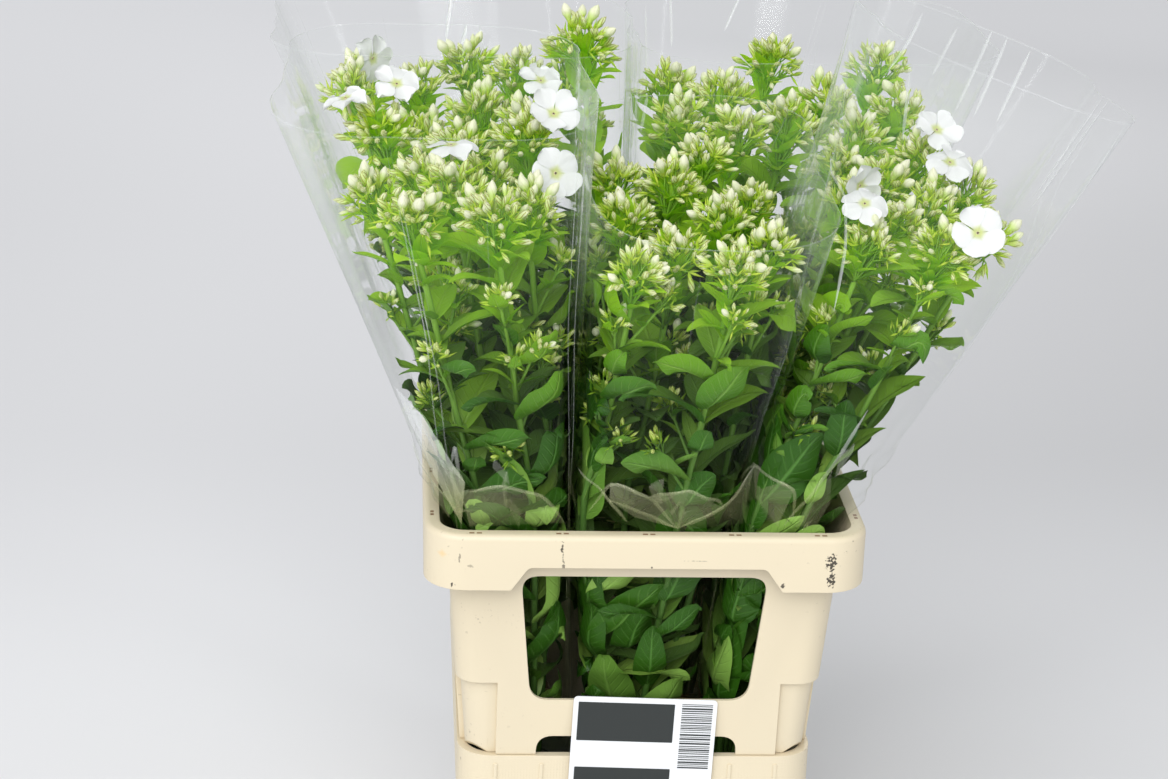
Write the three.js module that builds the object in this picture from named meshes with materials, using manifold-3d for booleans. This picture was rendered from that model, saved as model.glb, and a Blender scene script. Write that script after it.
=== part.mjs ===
// Phlox plant: five sleeved bunches of ten white phlox stems, standing in a bucket with a collar.
// Millimetres, +Z up. The origin is the middle of the bucket's underside, and the short side
// with the card faces -Y.

import * as THREE from 'three';
import { mergeVertices } from 'three/addons/utils/BufferGeometryUtils.js';
import Module from 'manifold-3d';

const wasm = await Module();
wasm.setup();

// ---------------------------------------------------------------- driving dimensions

const GAP = 0.3;                 // clearance between pieces that touch
const WALL = 3;                  // moulded plastic wall

// A section of the container is [height, half width, half depth, corner radius].
const RIM_Z = 405;               // top of the collar
const SEAT_Z = 229;              // the collar stands on the bucket's rim here
const RIM = { halfX: 150, halfY: 200, radius: 28 };
const MOUTH = { halfX: 140, halfY: 190, radius: 18 };
const SKIRT_DEPTH = 39.6;        // how far the turned-down rim reaches
const SKIRT_NOTCH = { z: 382, halfTop: 80, halfBottom: 91, below: 10, flare: 8, round: 3 };
const COLLAR_WALL = [
  [SEAT_Z + GAP, 122.5, 172.5, 16],
  [RIM_Z - SKIRT_DEPTH, 133, 183, 18],
  [RIM_Z - WALL, 143, 193, 20],
  [RIM_Z, 143, 193, 20],
];
const WINDOW = { top: 369.2, bottom: 272.8, halfTop: 84.1, halfBottom: 75.2, radius: 13 };
const ARCH = { top: 244, half: 70, radius: 12 };
const CORNER_RECESS = { top: 286, insideX: 98, insideY: 148, depth: 3.5 };
const CORNER_CUT = { reach: 272, slope: 0.77 };

const BUCKET_OUTSIDE = [
  [0, 104, 154, 20],
  [190, 118.5, 168.5, 22],
  [191, 124.4, 174.4, 24],
  [SEAT_Z, 124.4, 174.4, 24],
];
const BUCKET_INSIDE = [
  [4, 100.5, 150.5, 17],
  [190, 115.3, 165.3, 19],
  [SEAT_Z + 1, 118.4, 168.4, 20],
];
const BAND_RIB = { places: [-98, -66, 66, 98], half: 1.2, proud: 0.9, sunk: 2, low: 2, high: 6 };

const WATER_Z = 88;
const HOLE_RADIUS = 23;          // round the stems of each bunch
const ROUND_SIDES = 10;

const CARD = { width: 100, height: 96, thickness: 0.8, topZ: 275, x: 5, roll: 1.7 };

// The sleeves are cones of film: round at the foot, squarish at the waist and open at the top.
const FILM = 0.7;
const SLEEVE_FOOT_Z = 112;
const SLEEVE_FOOT_RADIUS = 33;
const WAIST_Z = 390;
const WAIST_RADIUS = 20;
const TOP_RADIUS = 60;
const ARC_STEPS = 3;            // flats round a corner

// foot: where the bunch stands. waist and top: [x from, x to, y from, y to] of the sleeve.
// topZ: height of the top edge at its middle. slope: how that edge rises along X and Y.
// columns: heads side by side in a row. headZ: height of the heads. headRadius: reach of their buds.
const BUNCHES = [
  { name: 'left', foot: [-71, -95], waist: [-131, -50.5, -181, -1.5], top: [-246, -47, -270, -2],
    topZ: 700, slope: [0, 0.05], columns: 3, headZ: 630, headRadius: 31, seed: 101 },
  { name: 'middle', foot: [0, -95], waist: [-48.5, 59, -181, -1.5], top: [-45, 111, -262, -2],
    topZ: 642, slope: [0, 0.14], columns: 2, headZ: 606, headRadius: 27, seed: 202 },
  { name: 'right', foot: [71, -95], waist: [61, 128.5, -181, -1.5], top: [136, 303, -225, -2],
    topZ: 720, slope: [-0.35, 0], columns: 2, headZ: 610, headRadius: 27, seed: 303 },
  { name: 'rear_left', foot: [-62, 95], waist: [-131, -1.5, 1.5, 181], top: [-264, -2, 2, 250],
    topZ: 684, slope: [0, 0], columns: 3, headZ: 611, headRadius: 34, seed: 404 },
  { name: 'rear_right', foot: [62, 95], waist: [1.5, 131, 1.5, 181], top: [2, 264, 2, 250],
    topZ: 684, slope: [0, 0], columns: 3, headZ: 611, headRadius: 34, seed: 505 },
];

// Stems, leaves and heads
const FOOT_Z = 4.6;
const FOOT_SPREAD = 1.7;         // how much wider the stems stand than where they are tied
const TIE_Z = 150;
const TIED_HALF = { 2: [5, 10], 3: [6.2, 8.2] };   // half sizes of ten tied stems, by columns
const KNOT = { radius: 11, half: 3 };   // the squeezed middle of a tied bunch
const TIE = { inner: 15.2, outer: 17.2, halfHeight: 3 };
const STEM_RADIUS = { foot: 2.8, top: 2.2 };
const STEM_MARGIN = 9;           // from a stem to its sleeve at the waist
const HEAD_RISE = 0.05;          // heads stand higher towards the back
const HEAD_BASE = 0.75;          // from a head's middle to its stem's end, in radii
const HEAD_JITTER = { place: 0.14, z: 24 };
const SPRIG = { bunch: 'rear_left', stem: 4, rise: 50 };
const LEAF_LOW = { z: 225, length: 104, width: 34 };
const LEAF_HIGH = { z: 580, length: 50, width: 17 };
const LEAF_THICKNESS = 1.7;
const LEAF_SHARES = [0.34, 0.36, 0.3];   // of its length, from root to tip
const LEAF_HALVES = [0.5, 0.4];  // half widths at the two shoulders
const LEAF_RISE = { least: 0.62, spread: 0.35 };   // angle from upright at the root
const LEAF_DROOP = 0.28;         // how much more it leans out with each share
const LEAF_CLIMB = 0.35;         // how strongly it turns up where it meets the film
const LEAF_TROUGH = 0.22;        // how far the edges stand above the midrib
const SIMPLIFY = 0.05;           // a bunch's surface may move this much to lose small faces
const TURNS = [0, 0.45, -0.45, 0.9, -0.9, 1.35, -1.35];   // tried in this order
const LEAF_SIZE = { least: 0.85, spread: 0.3 };
const LEAF_PAIR_PLACE = { least: 0.2, spread: 0.6 };   // of the height each pair has
const LEAF_PAIR_STEP = 138;      // height between the pairs of leaves on a stem
const LEAVES_BELOW_HEAD = 50;    // the highest leaves, below a head's middle
const STRIPPED_Z = 345;          // stems away from a window carry leaves above this
const HEAD_RINGS = { polar: [0.72, 1.42], around: 6 };   // rings of spikes under the topmost
const CORE = 0.56;               // a head's core, in radii
const CORE_FOOT = 0.8;           // how far it reaches down its stem, in radii
const SPIKE = { least: 0.9, spread: 0.2 };   // reach of its spikes, in radii
const SIDE_HEAD_RADIUS = 13;
const SIDE_HEAD_RINGS = { polar: [1.25], around: 4 };
const SIDE_SHOOT = { out: 26, up: 34, radius: 1.5, lowest: 480, belowHead: 60, share: 0.8,
  fromEdge: 0.6 };                // only stems at least this far out carry one
const CLEARANCE = 3.2;           // foliage is bent clear of the film by this much

// Open blooms: the bunch that carries each and where it looks out of its head.
const BLOOM_RADIUS = 14.5;
const BLOOM_TUBE = { neck: 2.4, below: 2.6, foot: 1.3, length: 14 };
// One petal's outline: [share of its turn, share of the bloom's radius, lift].
const PETAL_OUTLINE = [[0, 0.42, -0.6], [0.2, 0.94, 0.6], [0.5, 1, 0], [0.8, 0.94, 0.6]];
const BLOOM_INSIDE = 0.9;        // share of its radius that is kept inside the film
const BLOOM_ROOM = 0.45;         // left free round a bloom
const BLOOM_STANDS_OUT = 5;      // beyond the buds of its head
const BLOOMS = [
  { bunch: 'left', at: [-211, -46, 668] },
  { bunch: 'left', at: [-173, -30, 668] },
  { bunch: 'left', at: [-136, -125, 654] },
  { bunch: 'left', at: [-68, -60, 655] },
  { bunch: 'left', at: [-63, -125, 641] },
  { bunch: 'rear_left', at: [-189, 120, 661] },
  { bunch: 'rear_left', at: [-67, 60, 660] },
  { bunch: 'right', at: [137, -130, 632] },
  { bunch: 'right', at: [134, -175, 614] },
  { bunch: 'right', at: [203, -45, 649] },
  { bunch: 'right', at: [204, -85, 640] },
  { bunch: 'right', at: [198, -190, 610] },
];

// ---------------------------------------------------------------- colours

const COLOURS = {
  cream: 0xf3e6c8, card: 0xf4f4f2, water: 0xb9c6bc, film: 0xe8eeee,
  leaf: 0x4d8a2a, petal: 0xfafaf6, band: 0xc9a55a,
};

function finish(colour, roughness) {
  return new THREE.MeshStandardMaterial({ color: colour, roughness, metalness: 0 });
}

// ---------------------------------------------------------------- helpers

// Seeded draws between 0 and 1.
function randomSource(seed) {
  let state = seed;
  return () => {
    state = (state + 0x6d2b79f5) | 0;
    let mixed = Math.imul(state ^ (state >>> 15), 1 | state);
    mixed = (mixed + Math.imul(mixed ^ (mixed >>> 7), 61 | mixed)) ^ mixed;
    return ((mixed ^ (mixed >>> 14)) >>> 0) / 4294967296;
  };
}

function lerp(a, b, t) {
  return a + (b - a) * t;
}

function vector(x, y, z) {
  return new THREE.Vector3(x, y, z);
}

// One horizontal outline with round corners, counter-clockwise from above.
function roundedRing(centreX, centreY, halfX, halfY, radius, height, steps = ARC_STEPS) {
  const ring = [];
  for (let corner = 0; corner < 4; corner++) {
    const signX = corner === 0 || corner === 3 ? 1 : -1;
    const signY = corner < 2 ? 1 : -1;
    for (let step = 0; step <= steps; step++) {
      const angle = (corner + step / steps) * Math.PI / 2;
      const x = centreX + signX * (halfX - radius) + radius * Math.cos(angle);
      const y = centreY + signY * (halfY - radius) + radius * Math.sin(angle);
      ring.push(vector(x, y, typeof height === 'function' ? height(x, y) : height));
    }
  }
  return ring;
}

function meshFrom(points, triangles) {
  const geometry = new THREE.BufferGeometry();
  const places = points.flatMap(p => [p.x, p.y, p.z]);
  geometry.setAttribute('position', new THREE.Float32BufferAttribute(places, 3));
  geometry.setIndex(triangles.flat());
  return geometry;
}

function middleOf(points) {
  return points.reduce((sum, p) => sum.add(p), vector(0, 0, 0)).divideScalar(points.length);
}

// Closed solid through rings of equal count, from the lowest ring to the highest.
function loft(rings) {
  const count = rings[0].length;
  const points = rings.flat();
  const triangles = [];
  for (let level = 0; level + 1 < rings.length; level++) {
    for (let i = 0; i < count; i++) {
      const a = level * count + i;
      const b = level * count + (i + 1) % count;
      triangles.push([a, b, b + count], [a, b + count, a + count]);
    }
  }
  const last = (rings.length - 1) * count;
  for (let i = 1; i + 1 < count; i++) {
    triangles.push([0, i + 1, i], [last, last + i, last + i + 1]);
  }
  return meshFrom(points, triangles);
}

// Open-ended thin shell: outer rings upwards, the same inner rings, joined at both edges.
function shell(outer, inner) {
  const count = outer[0].length;
  const levels = outer.length;
  const points = [...outer.flat(), ...inner.flat()];
  const inside = levels * count;
  const triangles = [];
  for (let i = 0; i < count; i++) {
    const next = (i + 1) % count;
    for (let level = 0; level + 1 < levels; level++) {
      const a = level * count + i;
      const b = level * count + next;
      triangles.push([a, b, b + count], [a, b + count, a + count]);
      triangles.push([inside + a, inside + b + count, inside + b]);
      triangles.push([inside + a, inside + a + count, inside + b + count]);
    }
    const top = (levels - 1) * count;
    triangles.push([i, inside + i, inside + next], [i, inside + next, next]);
    triangles.push([top + i, top + next, inside + top + next]);
    triangles.push([top + i, inside + top + next, inside + top + i]);
  }
  return meshFrom(points, triangles);
}

function solid(geometry) {
  const bare = geometry.clone();
  bare.deleteAttribute('normal');
  bare.deleteAttribute('uv');
  const merged = mergeVertices(bare, 1e-4);
  return new wasm.Manifold(new wasm.Mesh({
    numProp: 3,
    vertProperties: merged.attributes.position.array,
    triVerts: Uint32Array.from(merged.index.array),
  }));
}

// Keeps the largest closed surface: scraps go and sealed hollows fill.
function largestBody(manifold) {
  const pieces = manifold.decompose();
  pieces.sort((a, b) => Math.abs(b.volume()) - Math.abs(a.volume()));
  return pieces[0];
}

function geometryOf(manifold) {
  const { vertProperties, triVerts } = manifold.getMesh();
  const geometry = new THREE.BufferGeometry();
  geometry.setAttribute('position', new THREE.BufferAttribute(vertProperties, 3));
  geometry.setIndex(new THREE.BufferAttribute(triVerts, 1));
  return geometry;
}

function box(x0, x1, y0, y1, z0, z1) {
  const geometry = new THREE.BoxGeometry(x1 - x0, y1 - y0, z1 - z0);
  return geometry.translate((x0 + x1) / 2, (y0 + y1) / 2, (z0 + z1) / 2);
}

// Outline in X and Z with its corners rounded off, pushed through along Y.
function pushedOutline(corners, radius, y0, y1) {
  const shape = new THREE.Shape();
  corners.forEach((corner, i) => {
    const point = new THREE.Vector2(...corner);
    const before = new THREE.Vector2(...corners.at(i - 1)).sub(point).normalize();
    const after = new THREE.Vector2(...corners[(i + 1) % corners.length]).sub(point).normalize();
    const start = before.multiplyScalar(radius).add(point);
    const end = after.multiplyScalar(radius).add(point);
    if (i === 0) {
      shape.moveTo(start.x, start.y);
    } else {
      shape.lineTo(start.x, start.y);
    }
    shape.quadraticCurveTo(point.x, point.y, end.x, end.y);
  });
  const settings = { depth: y1 - y0, bevelEnabled: false, curveSegments: ARC_STEPS };
  return new THREE.ExtrudeGeometry(shape, settings).rotateX(Math.PI / 2).translate(0, y1, 0);
}

function sectionLoft(sections, inset = 0) {
  return solid(loft(sections.map(([z, halfX, halfY, radius]) =>
    roundedRing(0, 0, halfX - inset, halfY - inset, radius, z))));
}

// ---------------------------------------------------------------- container

// The same sections, a wall's thickness further in.
function insideOf(sections) {
  return sections.map(([z, halfX, halfY, radius]) => [z, halfX - WALL, halfY - WALL, radius - WALL]);
}

// The four lower corners of the collar, where its wall stands back.
function cornerBoxes(insideX, insideY, top) {
  const boxes = [];
  const wide = 80;
  const tall = 100;
  for (const signX of [-1, 1]) {
    for (const signY of [-1, 1]) {
      const corner = new THREE.BoxGeometry(wide, wide, tall);
      corner.translate(signX * (insideX + wide / 2), signY * (insideY + wide / 2), top - tall / 2);
      boxes.push(solid(corner));
    }
  }
  return wasm.Manifold.union(boxes);
}

// Sloping blocks that lift the collar's lower edge towards its corners.
function cornerCuts() {
  const blocks = [];
  const tilt = Math.atan(CORNER_CUT.slope * Math.SQRT2);
  const size = { out: 120, across: 140, down: 60 };
  for (const signX of [-1, 1]) {
    for (const signY of [-1, 1]) {
      const block = new THREE.BoxGeometry(size.out, size.across, size.down);
      block.translate(size.out / 2, 0, -size.down / 2);
      block.rotateY(-tilt);
      block.rotateZ(Math.atan2(signY, signX));
      block.translate(signX * CORNER_CUT.reach / 2, signY * CORNER_CUT.reach / 2, SEAT_Z);
      blocks.push(solid(block));
    }
  }
  return wasm.Manifold.union(blocks);
}

function makeCollar() {
  const inside = insideOf(COLLAR_WALL);
  inside[0][0] = SEAT_Z - 1;
  inside[2] = [RIM_Z + 1, MOUTH.halfX, MOUTH.halfY, MOUTH.radius];
  inside.pop();

  const { top, insideX, insideY, depth } = CORNER_RECESS;
  const setBack = cornerBoxes(insideX, insideY, top).subtract(sectionLoft(COLLAR_WALL, depth));
  const wall = sectionLoft(COLLAR_WALL).subtract(setBack);
  const behind = cornerBoxes(insideX - WALL, insideY - WALL, top + WALL);
  const hollow = sectionLoft(inside).subtract(behind.subtract(sectionLoft(inside, depth)));

  const skirtLow = RIM_Z - SKIRT_DEPTH;
  const rimBlock = sectionLoft([
    [skirtLow, RIM.halfX, RIM.halfY, RIM.radius],
    [RIM_Z, RIM.halfX, RIM.halfY, RIM.radius],
  ]);
  const underRim = sectionLoft([
    [skirtLow - 1, RIM.halfX - WALL, RIM.halfY - WALL, RIM.radius - WALL],
    [RIM_Z - WALL, RIM.halfX - WALL, RIM.halfY - WALL, RIM.radius - WALL],
  ]);
  let rim = rimBlock.subtract(underRim);
  const { halfTop, halfBottom, below, flare, round } = SKIRT_NOTCH;
  const notch = [
    [-halfBottom - flare, skirtLow - below],
    [halfBottom + flare, skirtLow - below],
    [halfBottom, skirtLow + 1],
    [halfTop, SKIRT_NOTCH.z],
    [-halfTop, SKIRT_NOTCH.z],
    [-halfBottom, skirtLow + 1],
  ];
  const throughSkirt = [RIM.halfY - WALL - 1, RIM.halfY + 1];
  for (const [y0, y1] of [throughSkirt, throughSkirt.map(y => -y).reverse()]) {
    rim = rim.subtract(solid(pushedOutline(notch, round, y0, y1)));
  }

  const windowOutline = [
    [-WINDOW.halfBottom, WINDOW.bottom],
    [WINDOW.halfBottom, WINDOW.bottom],
    [WINDOW.halfTop, WINDOW.top],
    [-WINDOW.halfTop, WINDOW.top],
  ];
  const underArch = 2 * SEAT_Z - ARCH.top;
  const archOutline = [
    [-ARCH.half, underArch],
    [ARCH.half, underArch],
    [ARCH.half, ARCH.top],
    [-ARCH.half, ARCH.top],
  ];
  const cuts = wasm.Manifold.union([
    hollow,
    solid(pushedOutline(windowOutline, WINDOW.radius, -RIM.halfY - 1, RIM.halfY + 1)),
    solid(pushedOutline(archOutline, ARCH.radius, -RIM.halfY - 1, RIM.halfY + 1)),
    cornerCuts(),
  ]);
  return geometryOf(largestBody(wall.add(rim).subtract(cuts)));
}

function makeBucket() {
  let bucket = sectionLoft(BUCKET_OUTSIDE);
  const [low, high] = BUCKET_OUTSIDE.slice(2);
  const { half, proud, sunk } = BAND_RIB;
  for (const x of BAND_RIB.places) {
    for (const side of [-1, 1]) {
      const y = [side * (high[2] - sunk), side * (high[2] + proud)].sort((a, b) => a - b);
      const rib = box(x - half, x + half, ...y, low[0] + BAND_RIB.low, high[0] - BAND_RIB.high);
      bucket = bucket.add(solid(rib));
    }
  }
  return geometryOf(bucket.subtract(sectionLoft(BUCKET_INSIDE)));
}

function makeWater() {
  const [floor, upper] = BUCKET_INSIDE;
  const t = (WATER_Z - floor[0]) / (upper[0] - floor[0]);
  const surface = floor.map((value, i) => lerp(value, upper[i], t));
  surface[0] = WATER_Z;
  const bottom = [floor[0] + GAP, ...floor.slice(1)];
  let water = sectionLoft([bottom, surface], GAP);
  for (const { foot } of BUNCHES) {
    const hole = new THREE.CylinderGeometry(HOLE_RADIUS, HOLE_RADIUS, 2 * WATER_Z, ROUND_SIDES);
    hole.rotateX(Math.PI / 2).translate(foot[0], foot[1], WATER_Z / 2);
    water = water.subtract(solid(hole));
  }
  return geometryOf(water);
}

function makeCard() {
  const geometry = new THREE.BoxGeometry(CARD.width, CARD.thickness, CARD.height);
  geometry.translate(0, 0, -CARD.height / 2);
  geometry.rotateY(THREE.MathUtils.degToRad(CARD.roll));
  return geometry;
}

// ---------------------------------------------------------------- sleeves

// Plan rectangle of a sleeve as centre, half sizes and corner radius.
function planOf([x0, x1, y0, y1], radius) {
  return { x: (x0 + x1) / 2, y: (y0 + y1) / 2, halfX: (x1 - x0) / 2, halfY: (y1 - y0) / 2, radius };
}

function footPlan(bunch) {
  const [x, y] = bunch.foot;
  return { x, y, halfX: SLEEVE_FOOT_RADIUS, halfY: SLEEVE_FOOT_RADIUS, radius: SLEEVE_FOOT_RADIUS };
}

function mixPlans(a, b, t) {
  return Object.fromEntries(Object.keys(a).map(key => [key, lerp(a[key], b[key], t)]));
}

// The sleeve's section at a height. Its top edge slopes, so the section depends a little on
// how far across and how deep in the sleeve it is wanted, each from -1 to 1.
function planAt(bunch, z, across = 0, deep = 0) {
  const waist = planOf(bunch.waist, WAIST_RADIUS);
  if (z <= WAIST_Z) {
    const t = Math.max(0, (z - SLEEVE_FOOT_Z) / (WAIST_Z - SLEEVE_FOOT_Z));
    return mixPlans(footPlan(bunch), waist, t);
  }
  const top = planOf(bunch.top, TOP_RADIUS);
  const edgeZ = bunch.topZ + bunch.slope[0] * across * top.halfX + bunch.slope[1] * deep * top.halfY;
  return mixPlans(waist, top, (z - WAIST_Z) / (edgeZ - WAIST_Z));
}

function planRing(plan, inset, height) {
  return roundedRing(plan.x, plan.y, plan.halfX - inset, plan.halfY - inset, plan.radius - inset, height);
}

function sleeveRings(bunch, inset) {
  const top = planOf(bunch.top, TOP_RADIUS);
  const topHeight = (x, y) => bunch.topZ + bunch.slope[0] * (x - top.x) + bunch.slope[1] * (y - top.y);
  return [
    planRing(footPlan(bunch), inset, SLEEVE_FOOT_Z),
    planRing(planOf(bunch.waist, WAIST_RADIUS), inset, WAIST_Z),
    planRing(top, inset, topHeight),
  ];
}

function makeSleeve(bunch) {
  return shell(sleeveRings(bunch, 0), sleeveRings(bunch, FILM));
}

// The room inside a sleeve, carried on below its foot and above its top.
function roomInside(bunch) {
  const [foot, waist, top] = sleeveRings(bunch, FILM + GAP);
  const below = foot.map(p => vector(p.x, p.y, -1));
  const above = top.map((p, i) => p.clone().sub(waist[i]).multiplyScalar(1.2).add(waist[i]));
  return solid(loft([below, foot, waist, above]));
}

// How far a point is from the film (negative inside) and which way the film faces there.
function filmAt(bunch, point) {
  const middle = planAt(bunch, point.z);
  const across = THREE.MathUtils.clamp((point.x - middle.x) / middle.halfX, -1, 1);
  const deep = THREE.MathUtils.clamp((point.y - middle.y) / middle.halfY, -1, 1);
  const plan = planAt(bunch, point.z, across, deep);
  const dx = point.x - plan.x;
  const dy = point.y - plan.y;
  const overX = Math.abs(dx) - (plan.halfX - plan.radius);
  const overY = Math.abs(dy) - (plan.halfY - plan.radius);
  const cornerX = Math.max(overX, 0);
  const cornerY = Math.max(overY, 0);
  const beyond = Math.hypot(cornerX, cornerY);
  const distance = beyond + Math.min(Math.max(overX, overY), 0) - plan.radius;
  const normal = vector(0, 0, 0);
  if (beyond > 0) {
    normal.set(Math.sign(dx) * cornerX / beyond, Math.sign(dy) * cornerY / beyond, 0);
  } else if (overX > overY) {
    normal.x = Math.sign(dx);
  } else {
    normal.y = Math.sign(dy);
  }
  return { distance, normal };
}

function pushedInside(bunch, point, margin) {
  const { distance, normal } = filmAt(bunch, point);
  return distance > -margin ? point.clone().addScaledVector(normal, -margin - distance) : point;
}

// ---------------------------------------------------------------- stems, leaves and heads

// Where a bunch's ten heads stand across its sleeve, each from -1 to 1.
function headPlaces(columns) {
  const places = [];
  if (columns === 3) {
    [2, 3, 2, 3].forEach((count, row) => {
      for (let i = 0; i < count; i++) {
        places.push([count === 3 ? i - 1 : i - 0.5, row * 2 / 3 - 1]);
      }
    });
  } else {
    for (let row = 0; row < 5; row++) {
      const shift = row % 2 ? 0.33 : -0.33;
      places.push([-0.67 + shift, row / 2 - 1], [0.67 + shift, row / 2 - 1]);
    }
  }
  return places;
}

function planStem(bunch, index, place, random) {
  const [across, deep] = place.map(value => value + (random() - 0.5) * HEAD_JITTER.place);
  const guess = planAt(bunch, bunch.headZ, across, deep);
  const headY = guess.y + deep * (guess.halfY - bunch.headRadius);
  let headZ = bunch.headZ + HEAD_RISE * headY + (random() - 0.5) * HEAD_JITTER.z;
  if (bunch.name === SPRIG.bunch && index === SPRIG.stem) {
    headZ += SPRIG.rise;
  }
  const [tieX, tieY] = place.map((value, axis) => value * TIED_HALF[bunch.columns][axis]);
  const [footX, footY] = bunch.foot;
  const headBelow = bunch.headRadius * HEAD_BASE;
  const baseZ = headZ - headBelow;
  const stations = [
    vector(footX + tieX * FOOT_SPREAD, footY + tieY * FOOT_SPREAD, FOOT_Z),
    vector(footX + tieX, footY + tieY, TIE_Z),
  ];
  for (const z of [WAIST_Z, lerp(WAIST_Z, baseZ, 0.5), baseZ]) {
    const plan = planAt(bunch, z, across, deep);
    const margin = lerp(STEM_MARGIN, bunch.headRadius + 3, (z - WAIST_Z) / (headZ - WAIST_Z));
    const x = plan.x + across * (plan.halfX - margin);
    stations.push(vector(x, plan.y + deep * (plan.halfY - margin), z));
  }
  const lean = stations.at(-1).clone().sub(stations.at(-2)).normalize();
  const head = stations.at(-1).clone().addScaledVector(lean, headBelow);
  return { stations, lean, head, turn: random() * Math.PI, across, deep };
}

function pointOnStem(stem, z) {
  const { stations } = stem;
  let above = stations.findIndex(p => p.z > z);
  if (above < 1) {
    above = stations.length - 1;
  }
  const a = stations[above - 1];
  const b = stations[above];
  return a.clone().lerp(b, (z - a.z) / (b.z - a.z));
}

function makeStem(stem) {
  const rings = stem.stations.map((centre, i) => {
    const radius = lerp(STEM_RADIUS.foot, STEM_RADIUS.top, i / (stem.stations.length - 1));
    return [0, 1, 2, 3].map(k => {
      const angle = stem.turn + k * Math.PI / 2;
      return centre.clone().add(vector(radius * Math.cos(angle), radius * Math.sin(angle), 0));
    });
  });
  return loft(rings);
}

// A leaf's blade: sharp outline, with a thick midrib that droops outwards and slides up the film.
function makeLeaf(bunch, root, azimuth, length, width, rise) {
  const outward = vector(Math.cos(azimuth), Math.sin(azimuth), 0);
  const spine = [root.clone()];
  let normal = vector(0, 0, 1);
  const normals = [];
  LEAF_SHARES.forEach((share, step) => {
    const steep = rise + step * LEAF_DROOP;
    const along = outward.clone().multiplyScalar(Math.sin(steep)).add(vector(0, 0, Math.cos(steep)));
    const from = spine.at(-1);
    const reach = from.clone().addScaledVector(along, share * length);
    const film = filmAt(bunch, reach);
    normal = vector(-Math.cos(steep) * outward.x, -Math.cos(steep) * outward.y, Math.sin(steep));
    if (film.distance > -CLEARANCE) {
      const inward = film.normal.clone().multiplyScalar(-along.dot(film.normal));
      along.add(inward).add(vector(0, 0, LEAF_CLIMB)).normalize();
      normal = film.normal.clone().negate();
      reach.copy(from).addScaledVector(along, share * length);
    }
    spine.push(pushedInside(bunch, reach, CLEARANCE));
    normals.push(normal);
  });
  const [base, first, second, tip] = spine;
  const points = [base];
  [first, second].forEach((middle, i) => {
    const along = spine[i + 2].clone().sub(spine[i]).normalize();
    const side = normals[i].clone().cross(along).normalize();
    const face = along.clone().cross(side).normalize();
    const half = width * LEAF_HALVES[i];
    for (const sign of [1, -1]) {
      const edge = middle.clone().addScaledVector(side, sign * half);
      edge.addScaledVector(face, half * LEAF_TROUGH);
      points.push(pushedInside(bunch, edge, CLEARANCE));
    }
    if (i === 0) {
      points.push(middle.clone().addScaledVector(face, LEAF_THICKNESS / 2));
      points.push(middle.clone().addScaledVector(face, -LEAF_THICKNESS / 2));
    }
  });
  points.push(tip);
  // 0 base, 1 left, 2 right, 3 upper and 4 lower midrib, 5 left and 6 right further out, 7 tip
  const upper = [[0, 2, 3], [2, 6, 3], [6, 7, 3], [7, 5, 3], [5, 1, 3], [1, 0, 3]];
  const lower = upper.map(face => face.map(k => (k === 3 ? 4 : k)).reverse());
  return meshFrom(points, [...upper, ...lower]);
}

// A cluster of buds: a small core whose faces are drawn out into spikes.
function makeCluster(bunch, centre, lean, radius, turn, { polar: rings, around }, random) {
  const core = radius * CORE;
  const points = [vector(0, 0, core)];
  rings.forEach((polar, level) => {
    for (let i = 0; i < around; i++) {
      const angle = (i + level / 2) * 2 * Math.PI / around + turn;
      const point = new THREE.Vector3().setFromSphericalCoords(core, polar, angle);
      points.push(vector(point.z, point.x, point.y));
    }
  });
  const bottom = points.push(vector(0, 0, -radius * CORE_FOOT)) - 1;
  const faces = [];
  for (let i = 0; i < around; i++) {
    faces.push([0, 1 + i, 1 + (i + 1) % around]);
  }
  for (let level = 0; level + 1 < rings.length; level++) {
    for (let i = 0; i < around; i++) {
      const a = 1 + level * around + i;
      const b = 1 + level * around + (i + 1) % around;
      const c = a + around;
      const d = b + around;
      faces.push([a, c, b], [b, c, d]);
    }
  }
  const triangles = [];
  for (const [a, b, c] of faces) {
    const out = middleOf([points[a], points[b], points[c]]).normalize();
    const tip = points.push(out.multiplyScalar(radius * (SPIKE.least + random() * SPIKE.spread))) - 1;
    triangles.push([a, b, tip], [b, c, tip], [c, a, tip]);
  }
  const last = 1 + (rings.length - 1) * around;
  for (let i = 0; i < around; i++) {
    triangles.push([bottom, last + (i + 1) % around, last + i]);
  }
  const turned = new THREE.Quaternion().setFromUnitVectors(vector(0, 0, 1), lean);
  const grown = points.map(p => pushedInside(bunch, p.applyQuaternion(turned).add(centre), CLEARANCE));
  return meshFrom(grown, triangles);
}

// A side shoot: a short stalk with its own small cluster of buds.
function makeSideShoot(bunch, stem, z, azimuth) {
  const root = pointOnStem(stem, z);
  const outward = vector(Math.cos(azimuth), Math.sin(azimuth), 0);
  const wanted = root.clone().addScaledVector(outward, SIDE_SHOOT.out).add(vector(0, 0, SIDE_SHOOT.up));
  const end = pushedInside(bunch, wanted, SIDE_HEAD_RADIUS + CLEARANCE);
  const lean = end.clone().sub(root).normalize();
  const side = lean.clone().cross(vector(0, 0, 1)).normalize();
  const up = side.clone().cross(lean);
  const ringAt = centre => [0, 1, 2].map(k => {
    const angle = k * 2 * Math.PI / 3;
    const spoke = side.clone().multiplyScalar(Math.cos(angle)).addScaledVector(up, Math.sin(angle));
    return centre.clone().addScaledVector(spoke, SIDE_SHOOT.radius);
  });
  const stalk = loft([ringAt(root), ringAt(end)]);
  const random = randomSource(Math.floor(z));
  const cluster = makeCluster(bunch, end, lean, SIDE_HEAD_RADIUS, z, SIDE_HEAD_RINGS, random);
  return solid(stalk).add(solid(cluster));
}

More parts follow.
